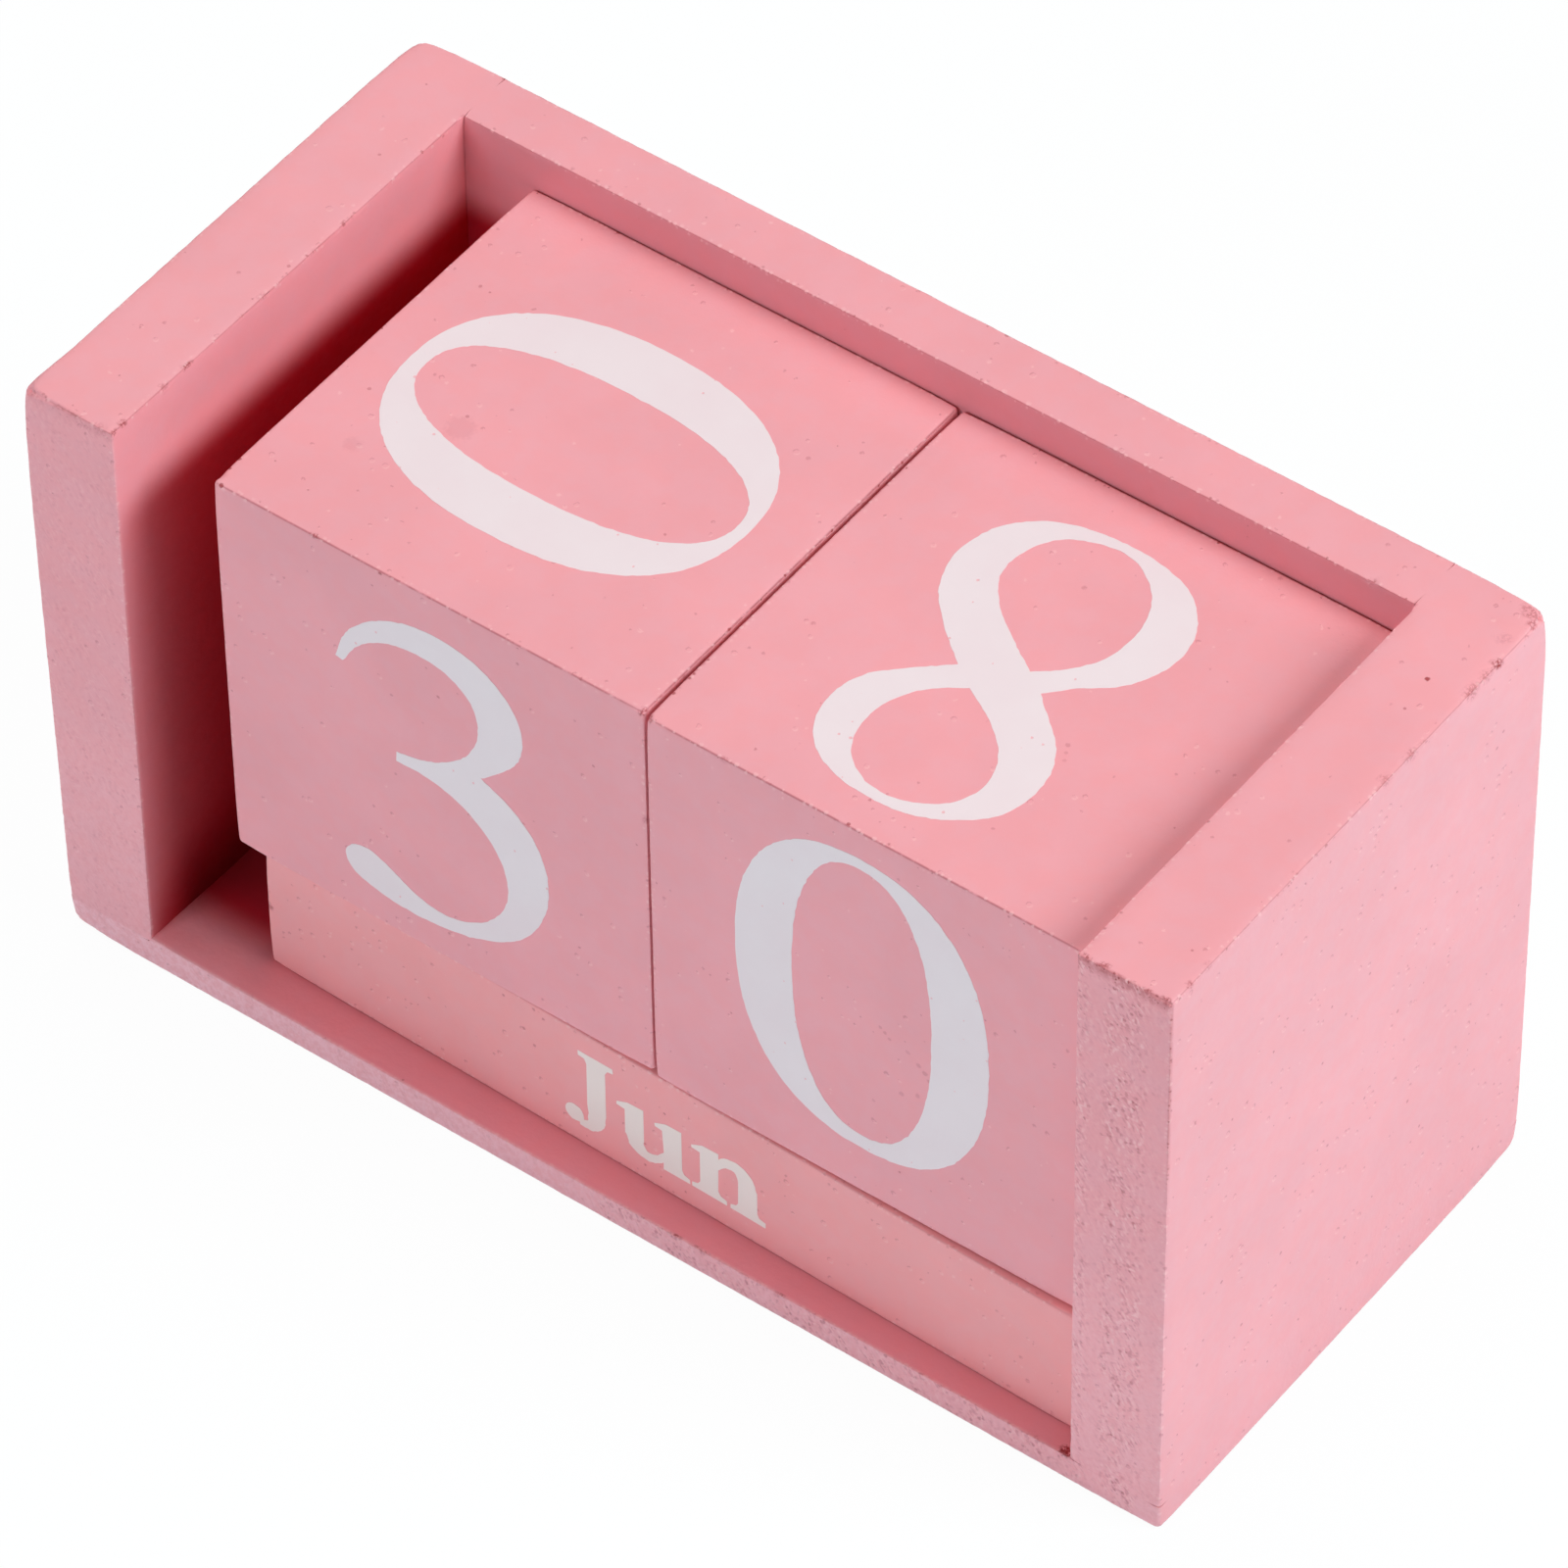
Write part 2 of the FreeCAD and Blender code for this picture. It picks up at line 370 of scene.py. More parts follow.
def grain(vector, scale, detail=2.0, roughness=0.5, seed=0.0, distortion=0.0):
    """A cloudy pattern between 0 and 1, with cells of about one over the scale."""
    inputs = {"Vector": vector, "W": seed, "Scale": scale, "Detail": detail, "Roughness": roughness,
              "Distortion": distortion}
    return follow("ShaderNodeTexNoise", inputs, noise_dimensions="4D").outputs[0]


def store(mesh, name, value):
    """Keep a number on each point under a name that the paint can read."""
    inputs = {"Geometry": mesh, "Name": name, "Value": value}
    return follow("GeometryNodeStoreNamedAttribute", inputs, data_type="FLOAT", domain="POINT").outputs[0]


def kept(tree, name):
    """A number that the points keep under a name."""
    return step(tree, "GeometryNodeInputNamedAttribute", {"Name": name}, data_type="FLOAT").outputs[0]


def board_tree(name, edges, bend=None):
    """Geometry Nodes that grow a painted board: a grid box, crowded towards its rounded and worn edges.

    Each edge is two faces, the input that gives its radius, and the stretch where it lies free, or None.
    Every edge is rounder near the corners of the whole piece. The object's own points are its knocks, with
    their radius, their depth and how bare they are."""
    inputs = {"Knocks": "Geometry", "Low Corner": "Vector", "High Corner": "Vector", "Cell": CELL}
    inputs.update(dict.fromkeys(sorted({radius for _, _, radius, _ in edges}), 0.0))
    inputs.update({"Wobble": 0.0, "Nick Depth": 0.0, "Nick Share": 0.5, "Rough Front": 0.0, "Lying": 0.0,
                   "Vertex Radius": 0.0, "Whole Low": "Vector", "Whole High": "Vector", "Crisp Share": 1.0,
                   "Seed": 0.0, "Finish": "Material"})
    tree, given, wanted = new_group(name, "GeometryNodeTree", inputs, {"Board": "Geometry"})
    lows, highs = split(given["Low Corner"]), split(given["High Corner"])
    whole_lows, whole_highs = split(given["Whole Low"]), split(given["Whole High"])

    size = vector_maths("SUBTRACT", given["High Corner"], given["Low Corner"])
    counts = vector_maths("CEIL", vector_maths("DIVIDE", size, join([given["Cell"]] * 3)))
    counts = {"Vertices " + axis: plus(count, 1.0) for axis, count in zip("XYZ", split(counts))}
    grid = step(tree, "GeometryNodeMeshCube", {"Size": size, **counts}).outputs["Mesh"]

    share = vector_maths("DIVIDE", step(tree, "GeometryNodeInputPosition").outputs[0], size)
    share = vector_maths("ADD", share, (0.5, 0.5, 0.5))
    wave = vector_maths("SINE", vector_maths("MULTIPLY", share, (math.tau,) * 3))
    wave = vector_maths("MULTIPLY", wave, (CROWDING / math.tau,) * 3)
    share = vector_maths("MULTIPLY", vector_maths("SUBTRACT", share, wave), size)
    places = split(vector_maths("ADD", given["Low Corner"], share))

    to_vertex = 0.0
    for place, low, high in zip(places, whole_lows, whole_highs):
        nearer = maths("MINIMUM", minus(place, low), minus(high, place))
        to_vertex = plus(to_vertex, nearer)
    off_right = plus(minus(whole_highs[0], places[0]), minus(places[1], whole_lows[1]))
    crisp = ramp(off_right, CRISP_WITHIN, ROUND_BEYOND, given["Crisp Share"], 1.0)
    growth = times(fading(to_vertex, VERTEX_REACH), given["Vertex Radius"], crisp)
    for face, other, radius, stretch in edges:
        radius = plus(given[radius], growth)
        if stretch:
            radius = times(radius, along_stretch(places, stretch))
        distances = {"Off Face": off_face(face, places, lows, highs),
                     "Off Other": off_face(other, places, lows, highs), "Radius": radius}
        node = step(tree, "GeometryNodeGroup", distances, node_tree=soften_edge)
        for side, result in ((face, node.outputs["Off Face"]), (other, node.outputs["Off Other"])):
            axis, far = FACES[side]
            places[axis] = minus(highs[axis], result) if far else plus(lows[axis], result)
    mesh = step(tree, "GeometryNodeSetPosition", {"Geometry": grid, "Position": join(places)}).outputs[0]

    spot = step(tree, "GeometryNodeInputPosition").outputs[0]
    places = split(spot)
    nearest = 1.0
    for face, other, _, stretch in edges:
        away = maths("MAXIMUM", off_face(face, places, lows, highs), off_face(other, places, lows, highs))
        if stretch:
            away = plus(away, minus(1.0, along_stretch(places, stretch)))
        nearest = maths("MINIMUM", nearest, away)
    mesh = store(mesh, "edge_distance", maths("DIVIDE", nearest, MM))
    mesh = store(mesh, "lying", given["Lying"])
    nearest = kept(tree, "edge_distance")

    coarse = grain(spot, *COARSE_WEAR, given["Seed"])
    fine = grain(spot, *FINE_WEAR, given["Seed"])
    cloud = plus(times(coarse, 0.62), times(fine, 0.38), times(given["Nick Share"], 0.2))
    nick = ramp(minus(cloud, times(nearest, 0.16)), 0.60, 0.68)

    index = step(tree, "GeometryNodeSampleNearest", {"Geometry": given["Knocks"], "Sample Position": spot},
                 domain="POINT").outputs[0]

    def knock_value(source, kind="FLOAT"):
        inputs = {"Geometry": given["Knocks"], "Value": source, "Index": index}
        return step(tree, "GeometryNodeSampleIndex", inputs, data_type=kind, domain="POINT").outputs[0]

    centre = knock_value(step(tree, "GeometryNodeInputPosition").outputs[0], "FLOAT_VECTOR")
    radius, depth, bareness = (knock_value(kept(tree, label)) for label in ("radius", "depth", "bareness"))
    away = maths("DIVIDE", distance(spot, centre), maths("MAXIMUM", radius, HAIR))
    ragged = minus(grain(spot, *RAGGED_KNOCK, given["Seed"]), 0.5)
    knock = ramp(plus(away, times(ragged, 1.4)), 0.55, 1.0, 1.0, 0.0)
    bare = maths("MAXIMUM", times(nick, 0.3), times(knock, bareness))
    mesh = store(mesh, "bare", bare)

    waver = grain(spot, *WAVER, plus(given["Seed"], 7.0))
    waver = times(waver, ramp(nearest, 0.2, 1.6, 1.0, 0.0), given["Wobble"])
    frayed = times(grain(spot, *FRAY), ramp(nearest, 0.1, 0.5, 1.0, 0.0))
    frayed = times(frayed, given["Wobble"])
    inward = plus(waver, frayed, times(nick, given["Nick Depth"]), times(knock, depth))
    shift = scaled(step(tree, "GeometryNodeInputNormal").outputs[0], times(inward, -1.0))
    on_front = ramp(minus(places[1], lows[1]), 0.1 * MM, 0.5 * MM, 1.0, 0.0)
    sawn = times(on_front, maths("GREATER_THAN", given["Rough Front"], 0.0))
    mesh = store(mesh, "sawn_front", sawn)
    lumps = times(grain(spot, *SAWN_LUMPS), on_front, given["Rough Front"])
    shift = vector_maths("ADD", shift, join([0.0, lumps, 0.0]))
    if bend:
        shift = vector_maths("ADD", shift, bend(places, lows, highs))
    mesh = step(tree, "GeometryNodeSetPosition", {"Geometry": mesh, "Offset": shift}).outputs[0]

    angle = step(tree, "GeometryNodeInputMeshEdgeAngle").outputs["Unsigned Angle"]
    sharp = maths("GREATER_THAN", angle, SHARP_ANGLE)
    mesh = step(tree, "GeometryNodeSetShadeSmooth", {0: mesh, "Shade Smooth": True}, domain="FACE").outputs[0]
    mesh = step(tree, "GeometryNodeSetShadeSmooth", {0: mesh, "Selection": sharp, "Shade Smooth": False},
                domain="EDGE").outputs[0]
    mesh = step(tree, "GeometryNodeRealizeInstances", {0: mesh}).outputs[0]
    mesh = step(tree, "GeometryNodeSetMaterial", {"Geometry": mesh, "Material": given["Finish"]}).outputs[0]
    connect(mesh, wanted["Board"])
    return tree


def grow(name, tree, points, values, attributes=()):
    """A plain mesh object from a Geometry Nodes tree, its starting mesh and its named inputs."""
    start = bpy.data.meshes.new(name + "_start")
    start.from_pydata(*points)
    for label, numbers in attributes:
        start.attributes.new(label, "FLOAT", "POINT").data.foreach_set("value", numbers)
    maker = bpy.data.objects.new(name + "_maker", start)
    bpy.context.scene.collection.objects.link(maker)
    modifier = maker.modifiers.new("grow", "NODES")
    modifier.node_group = tree
    sockets = {item.name: item.identifier for item in tree.interface.items_tree if item.in_out == "INPUT"}
    for label, value in values.items():
        modifier[sockets[label]] = value
    seen = maker.evaluated_get(bpy.context.evaluated_depsgraph_get())
    mesh = bpy.data.meshes.new_from_object(seen)
    mesh.name = name
    bpy.data.objects.remove(maker)
    bpy.data.meshes.remove(start)
    piece = bpy.data.objects.new(name, mesh)
    bpy.context.scene.collection.objects.link(piece)
    return piece


def board(name, tree, box, finish, radii, knocks=(), whole=None, **wear):
    """One painted board in its box, with its knocks: place, radius and depth in millimetres, and how bare."""
    whole = whole or box
    points = [tuple(part * MM for part in place) for place, _, _, _ in knocks]
    attributes = [("radius", [radius * MM for _, radius, _, _ in knocks]),
                  ("depth", [depth * MM for _, _, depth, _ in knocks]),
                  ("bareness", [bareness for _, _, _, bareness in knocks])]
    values = {"Low Corner": list(box[0]), "High Corner": list(box[1]), "Cell": CELL, "Finish": finish,
              "Whole Low": list(whole[0]), "Whole High": list(whole[1]), "Crisp Share": 1.0}
    values.update(radii)
    values.update({label.replace("_", " "): value for label, value in wear.items()})
    return grow(name, tree, (points, [], []), values, attributes)


def specks_group():
    """Rare round specks: a mask from a cell pattern, with a chosen share of the cells filled."""
    inputs = {"Vector": "Vector", "Scale": 300.0, "Share": 0.1, "Size": 0.1}
    tree, given, wanted = new_group("specks", "ShaderNodeTree", inputs, {"Mask": "Float"})
    cells = {"Vector": given["Vector"], "Scale": given["Scale"], "Randomness": 0.9}
    cell = step(tree, "ShaderNodeTexVoronoi", cells)
    draw = step(tree, "ShaderNodeSeparateColor", {0: cell.outputs["Color"]})
    chosen = maths("LESS_THAN", draw.outputs[0], given["Share"])
    reach = times(given["Size"], plus(draw.outputs[1], 0.35))
    ragged = minus(grain(given["Vector"], times(given["Scale"], 7.0), 1.0), 0.5)
    away = plus(cell.outputs["Distance"], times(ragged, times(given["Size"], 1.2)))
    near = ramp(away, times(reach, 0.8), times(reach, 1.2), 1.0, 0.0)
    connect(times(near, chosen), wanted["Mask"])
    return tree


specks = specks_group()


def speckled(vector, scale, share, size, pattern=specks):
    """A pattern of specks, from its scale, the share of its cells that is filled, and its specks' size."""
    inputs = {"Vector": vector, "Scale": scale, "Share": share, "Size": size}
    return follow("ShaderNodeGroup", inputs, node_tree=pattern).outputs


def either_side(vector):
    """A place moved a little way towards the light, and as far away from it."""
    return [vector_maths("ADD", vector, tuple(part * way for part in CRUMB_SHIFT)) for way in (1, -1)]


def crumbs_group():
    """Small crumbs under the paint, each drawn as a painted highlight on one side and a painted shadow on the
    other.
    """
    inputs = {"Vector": "Vector", "Scale": 900.0, "Share": 0.1, "Size": 0.2}
    outputs = {"Light": "Float", "Dark": "Float"}
    tree, given, wanted = new_group("crumbs", "ShaderNodeTree", inputs, outputs)
    light, dark = (speckled(moved, given["Scale"], given["Share"], given["Size"])[0]
                   for moved in either_side(given["Vector"]))
    connect(ramp(minus(light, dark), 0.0, 1.0), wanted["Light"])
    connect(ramp(minus(dark, light), 0.0, 1.0), wanted["Dark"])
    return tree


crumbs = crumbs_group()


def mix_colour(factor, first, second, blend="MIX"):
    """One colour laid over another by a mask."""
    inputs = {"Factor": factor, 6: first, 7: second}
    return follow("ShaderNodeMix", inputs, data_type="RGBA", blend_type=blend).outputs[2]


def object_place(tree):
    """Where a point of the surface is, in the shared frame."""
    return step(tree, "ShaderNodeTexCoord").outputs["Object"]


def found(tree, name):
    """A number that the geometry keeps under a name, for the paint."""
    return step(tree, "ShaderNodeAttribute", attribute_type="GEOMETRY", attribute_name=name).outputs["Fac"]


def sprayed_paint_group():
    """The sprayed coat: soft blotches, specks, thin paint on the edges, bare board in the nicks and relief,
    with painted highlights and shadows on crumbs and crust, painted bounce light and painted shade.
    """
    inputs = {"Paint": PAINT, "Thin Paint And Shadow": THIN_PAINT_AND_SHADOW, "Bare Board": BARE_BOARD, "Inner Bounce Paint": INNER_BOUNCE_PAINT,
              "Tray Shade Paint": TRAY_SHADE_PAINT, "Inside": 0.0, "Deep Inside": 0.0, "Painted Shade": 0.0,
              "Edge Distance": 9.0, "Bare": 0.0, "Sawn Band": 0.0, "Crust": 0.0, "Milky And Bounce": 0.0, "Spots": 0.0,
              "Speck Share": 0.08, "Edge Line": 0.5, "Orange Peel": 1.0}
    outputs = {"Color": "Color", "Roughness": "Float", "Height": "Float"}
    tree, given, wanted = new_group("sprayed paint", "ShaderNodeTree", inputs, outputs)
    spot = object_place(tree)

    shade = ramp(grain(spot, *BLOTCHES), 0.3, 0.7, 0.965, 1.02)
    shade = step(tree, "ShaderNodeCombineColor", {0: shade, 1: shade, 2: shade}).outputs[0]
    # On the tray's inner faces: the redder copy of the paint, a painted bounce light.
    colour = mix_colour(given["Inside"], given["Paint"], given["Inner Bounce Paint"])
    # Then the painted shade deep in the tray.
    colour = mix_colour(given["Deep Inside"], colour, given["Tray Shade Paint"])
    # And the painted shade at the feet, under the front bar and on the back board.
    colour = mix_colour(given["Painted Shade"], colour, (0.0, 0.0, 0.0, 1.0))
    colour = mix_colour(1.0, colour, shade, "MULTIPLY")
    tint = ramp(grain(spot, *TINTS), 0.35, 0.65)
    colour = mix_colour(1.0, colour, mix_colour(tint, WARM_TINT, COOL_TINT), "MULTIPLY")
    # Milky patches and the painted bounce light on the sawn fronts.
    patches = ramp(grain(spot, *MILKY_PATCHES), 0.38, 0.62)
    patches = plus(times(patches, 0.6), 0.4)
    colour = mix_colour(times(patches, given["Milky And Bounce"]), colour, SAWN_MILKY_AND_BOUNCE)

    crowd = ramp(grain(spot, *SPECK_CROWDS), 0.42, 0.62, 0.25, 2.5)
    crowd = times(given["Speck Share"], crowd)
    few = times(crowd, 0.12)
    dots = speckled(spot, DOT_SCALE, few, DOT_SIZE)[0]
    colour = mix_colour(times(dots, 0.45), colour, given["Thin Paint And Shadow"])
    near_edge = ramp(given["Edge Distance"], 0.15, 0.75, 1.0, 0.0)
    few = plus(few, times(near_edge, 0.12))
    few = plus(times(few, minus(1.0, given["Inside"])), given["Sawn Band"])
    # Crumbs: a painted highlight on one side and a painted shadow on the other.
    light, dark = speckled(spot, CRUMB_SCALE, few, CRUMB_SIZE, crumbs)
    colour = mix_colour(times(light, 0.4), colour, HIGHLIGHT_PAINT)
    colour = mix_colour(times(dark, 0.35), colour, given["Thin Paint And Shadow"])
    colour = mix_colour(given["Spots"], colour, given["Bare Board"])

    broken = grain(spot, *BREAKS)
    line = ramp(given["Edge Distance"], 0.05, 0.26, 1.0, 0.0)
    line = times(line, ramp(broken, 0.3, 0.5, 0.3, 1.0), given["Edge Line"])
    colour = mix_colour(line, colour, given["Thin Paint And Shadow"])
    # Light specks near the edges, in the highlight colour.
    bright = times(speckled(spot, *BRIGHT_GRAINS)[0], near_edge, 0.5)
    colour = mix_colour(bright, colour, HIGHLIGHT_PAINT)
    moved = vector_maths("ADD", spot, OTHER_SPECKS)
    chips = times(speckled(moved, *CHIPS)[0], near_edge, given["Edge Line"])
    colour = mix_colour(chips, colour, given["Bare Board"])
    mottled = ramp(grain(spot, *MOTTLES), 0.42, 0.56, 0.15, 1.0)
    colour = mix_colour(times(given["Bare"], mottled), colour, given["Bare Board"])

    strips = ramp(grain(spot, *CRUST_STRIPS), 0.35, 0.6, 0.25, 1.0)
    crusted = times(given["Crust"], strips)
    band = ramp(grain(spot, *BAND_CLOUDS), 0.3, 0.55, 0.35, 1.0)
    colour = mix_colour(times(given["Sawn Band"], band), colour, SAWN_PAINT)
    grit = speckled(moved, *BAND_SPECKS)[0]
    colour = mix_colour(times(grit, given["Sawn Band"]), colour, given["Bare Board"])
    pits = times(speckled(spot, *CRUST_PITS)[0], crusted)
    colour = mix_colour(times(pits, 0.55), colour, given["Thin Paint And Shadow"])
    # The crust's streaks: a painted highlight on the slopes towards the light and a painted shadow on those
    # away from it.
    slant = {"Vector": spot, "Rotation": (0.0, -0.91, 0.0), "Scale": (1.0, 1.0, 1.7)}
    slanted = step(tree, "ShaderNodeMapping", slant, vector_type="TEXTURE").outputs[0]
    rises = [ramp(grain(place, *CRUST_RISES), 0.44, 0.62) for place in either_side(slanted)]
    slope = minus(*rises)
    lit = times(ramp(slope, 0.1, 0.75), times(crusted, 0.7))
    colour = mix_colour(lit, colour, HIGHLIGHT_PAINT)
    shaded = times(ramp(slope, -0.75, -0.1, 1.0, 0.0), times(crusted, 0.35))
    colour = mix_colour(shaded, colour, given["Thin Paint And Shadow"])
    connect(colour, wanted["Color"])

    rough = plus(ramp(broken, 0.3, 0.7, 0.50, 0.62), times(given["Bare"], 0.25))
    connect(rough, wanted["Roughness"])

    peel = times(grain(spot, *PEEL), times(given["Orange Peel"], 0.030))
    crust = times(rises[0], times(crusted, 0.05))
    height = minus(plus(peel, crust), times(pits, 0.03), times(dots, 0.03))
    rubble = times(grain(spot, *RUBBLE), times(given["Bare"], 0.06))
    connect(plus(height, times(bright, 0.03), rubble), wanted["Height"])
    return tree


sprayed_paint = sprayed_paint_group()


def inside_tray(tree):
    """Masks of the tray's inner faces, of painted shade deep in the tray, and of painted shade low on the
    walls, towards the back of the floor, under the front bar and on the back board.
    """
    x, y, z = split(object_place(tree))
    between = ramp(maths("ABSOLUTE", x), wall_inner + FACE_FADE[0], wall_inner + FACE_FADE[1], 1.0, 0.0)
    ahead = ramp(y, tray_back + FACE_FADE[0], tray_back + FACE_FADE[1], 1.0, 0.0)
    behind = ramp(y, base_front + 0.2 * MM, base_front + 0.5 * MM)
    inside = times(between, ahead, behind)
    # Painted shade deep in the tray: full well below the rim, and growing inwards from the open front.
    low = ramp(z, tray_rim - TRAY_DIM_DEPTH[0], tray_rim - TRAY_DIM_DEPTH[1], 1.0, 0.0)
    on_floor = found(tree, "lying")
    reach = ramp(z, 3.0 * MM, 16.0 * MM, 1.3 * MM, 4.1 * MM)
    on_wall = maths("DIVIDE", minus(base_front, y), reach)
    on_wall = times(minus(1.0, maths("EXPONENT", on_wall)), minus(1.0, on_floor))
    shade_inward = plus(times(ramp(y, -24.4 * MM, -19.0 * MM), on_floor), on_wall)
    # Painted shade low on the walls near their foot, and on the floor towards the back.
    foot = times(ramp(z, 3.5 * MM, 14.0 * MM, FOOT_DARK, 0.0), ramp(y, -25.5 * MM, -20.0 * MM),
                 minus(1.0, times(on_floor, 0.75)))
    rear_floor = times(on_floor, ramp(y, -22.0 * MM, -15.0 * MM, 0.0, REAR_DARK))
    # Painted shadow on the base along the foot of the front bar.
    off_bar = maths("MAXIMUM", minus(bar_front, times(x, BAR_SLOPE), y), 0.0)
    contact = times(fading(off_bar, CONTACT_REACH), CONTACT_DARK, on_floor,
                    maths("GREATER_THAN", x, CONTACT_LEFT_END))
    foot = maths("MAXIMUM", plus(foot, rear_floor), contact)
    # Painted shade on the back board's inner face.
    on_back = ramp(y, tray_back - FACE_FADE[1], tray_back - FACE_FADE[0], 0.0, BACK_DARK)
    painted_shade = times(inside, maths("MAXIMUM", foot, on_back))
    return inside, times(inside, times(low, shade_inward)), painted_shade


def sawn_masks(tree):
    """On the sawn fronts: starved paint at the top and darker paint along the right corner, rough strips,
    milky paint on the base front, and a painted bounce light that lightens the fronts towards their bottom.
    """
    x, _, z = split(object_place(tree))
    under_rim = ramp(z, tray_rim - 1.5 * MM, tray_rim - 0.5 * MM)
    corner = ramp(x, wall_outer - 0.35 * MM, wall_outer - 0.1 * MM)
    corner = times(corner, ramp(z, 40.0 * MM, 52.0 * MM))
    band = times(maths("MAXIMUM", under_rim, corner), ramp(x, -1.0 * MM, 1.0 * MM, 0.2, 0.75))
    off_middle = maths("ABSOLUTE", minus(x, wall_inner + 5.1 * MM))
    middle = ramp(off_middle, 1.3 * MM, 2.6 * MM, 1.0, 0.25)
    inner = ramp(x, wall_inner + 0.8 * MM, wall_inner + 2.0 * MM, 0.9, 0.25)
    inner = times(inner, maths("GREATER_THAN", x, 0.0))
    on_base = ramp(z, 3.0 * MM, 3.4 * MM, 1.0, 0.0)
    milky_and_bounce = times(on_base, ramp(x, -wall_inner, wall_inner, 0.95, 0.4))
    # A painted bounce light from the sheet: lighter towards the bottom of the sawn fronts.
    milky_and_bounce = maths("MAXIMUM", milky_and_bounce, ramp(z, 10.0 * MM, 45.0 * MM, 0.32, 0.0))
    return band, maths("MAXIMUM", middle, inner), milky_and_bounce


def spots_mask(tree, spots):
    """Single specks and smudges: place and radius in millimetres, and strength."""
    place = object_place(tree)
    ragged = minus(grain(place, *RAGGED_SPOTS), 0.5)
    mask = 0.0
    for centre, radius, strength in spots:
        away = distance(place, tuple(part * MM for part in centre))
        away = plus(maths("DIVIDE", away, radius * MM), times(ragged, 1.2))
        mask = maths("MAXIMUM", mask, ramp(away, 0.6, 1.15, strength, 0.0))
    return mask


def painted(name, in_tray=False, spots=(), lined_above=0.0, foot_shade=0.0, **values):
    """A matt sprayed finish with its own values, and a dark line only on the edges above a height."""
    material, tree, surface = new_material(name)
    coat = step(tree, "ShaderNodeGroup", node_tree=sprayed_paint)
    masks = {"Edge Distance": found(tree, "edge_distance"), "Bare": found(tree, "bare")}
    # On the casing: painted bounce light and painted shade in the tray, and the marks of the sawn fronts.
    if in_tray:
        masks.update(zip(("Inside", "Deep Inside", "Painted Shade"), inside_tray(tree)))
        sawn = found(tree, "sawn_front")
        for label, mask in zip(("Sawn Band", "Crust", "Milky And Bounce"), sawn_masks(tree)):
            masks[label] = times(mask, sawn)
    if spots:
        masks["Spots"] = spots_mask(tree, spots)
    height = split(object_place(tree))[2]
    masks["Edge Line"] = ramp(height, (lined_above - 0.6) * MM, (lined_above - 0.3) * MM, 0.0,
                              values.pop("Edge_Line"))
    # A painted shade along the bottom of the piece, where it stands on the base.
    if foot_shade:
        masks["Painted Shade"] = times(fading(minus(height, 3.0 * MM), 0.8 * MM), foot_shade)
    for label, value in (masks | values).items():
        connect(value, coat.inputs[label.replace("_", " ")])
    relief = step(tree, "ShaderNodeBump", {"Strength": 1.0, "Distance": MM, "Height": coat.outputs["Height"]})
    shader = step(tree, "ShaderNodeBsdfPrincipled", {
        "Base Color": coat.outputs["Color"], "Roughness": coat.outputs["Roughness"],
        "Normal": relief.outputs[0], "Specular IOR Level": PAINT_SPECULAR})
    connect(shader.outputs[0], surface)
    return material


wall_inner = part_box("right_wall")[0].x
wall_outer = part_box("right_wall")[1].x
tray_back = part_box("back_board")[0].y
tray_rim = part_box("back_board")[1].z
base_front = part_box("base_board")[0].y
BAR_SLANT = math.radians(1.2)
BAR_SLOPE = math.tan(BAR_SLANT)
BAR_PITCH = 14.7 * MM
middle_bar_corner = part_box("middle_month_bar")[0]
bar_front = middle_bar_corner.y - BAR_PITCH + middle_bar_corner.x * BAR_SLOPE
CASING_TOP = 67.3
casing_spots = [((56.1, 14.8, CASING_TOP), 0.25, 0.9), ((56.5, 10.9, CASING_TOP), 0.16, 0.5),
                ((60.0, 20.1, 56.8), 0.2, 0.35), ((-58.3, -27.0, CASING_TOP), 0.2, 0.3)]
# The casing's paint, with painted bounce light and painted shade inside the tray.
casing_paint = painted("casing paint", True, casing_spots, lined_above=CASING_TOP, Paint=PAINT, Edge_Line=0.5,
                       Speck_Share=0.22)

base_edges = [
    ("left", "front", "Corner Radius", None), ("left", "back", "Back Corner Radius", None),
    ("right", "front", "Corner Radius", None), ("right", "back", "Back Corner Radius", None),
    ("left", "bottom", "Foot Radius", None), ("right", "bottom", "Foot Radius", None),
    ("front", "bottom", "Foot Radius", None), ("back", "bottom", "Foot Radius", None),
    ("front", "top", "Crease Radius", (0, -wall_inner, wall_inner)),
]
casing_radii = {"Corner Radius": CASING_CORNER, "Back Corner Radius": CASING_BACK_CORNER,
                "Crease Radius": CASING_CREASE, "Vertex Radius": CASING_VERTEX, "Crisp Share": CRISP_SHARE}
base_radii = {**casing_radii, "Foot Radius": CASING_FOOT}
wall_radii = {**casing_radii, "Rim Radius": CASING_RIM}
casing_whole = (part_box("base_board")[0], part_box("right_wall")[1])
LEAN = 0.5 * MM
FILL = 0.5 * MM
FAR_OFF = 1.0


def filled_corner(places, lows, highs):
    """Paint and filler round off the front corner between the base and the left wall."""
    along = plus(places[0], wall_inner)
    fill = times(fading(along, 6.0 * MM), FILL, maths("GREATER_THAN", along, -0.05 * MM),
                 ramp(places[1], lows[1], -14.0 * MM, 1.0, 0.0),
                 ramp(places[2], minus(highs[2], MM), highs[2]))
    return join([0.0, 0.0, fill])


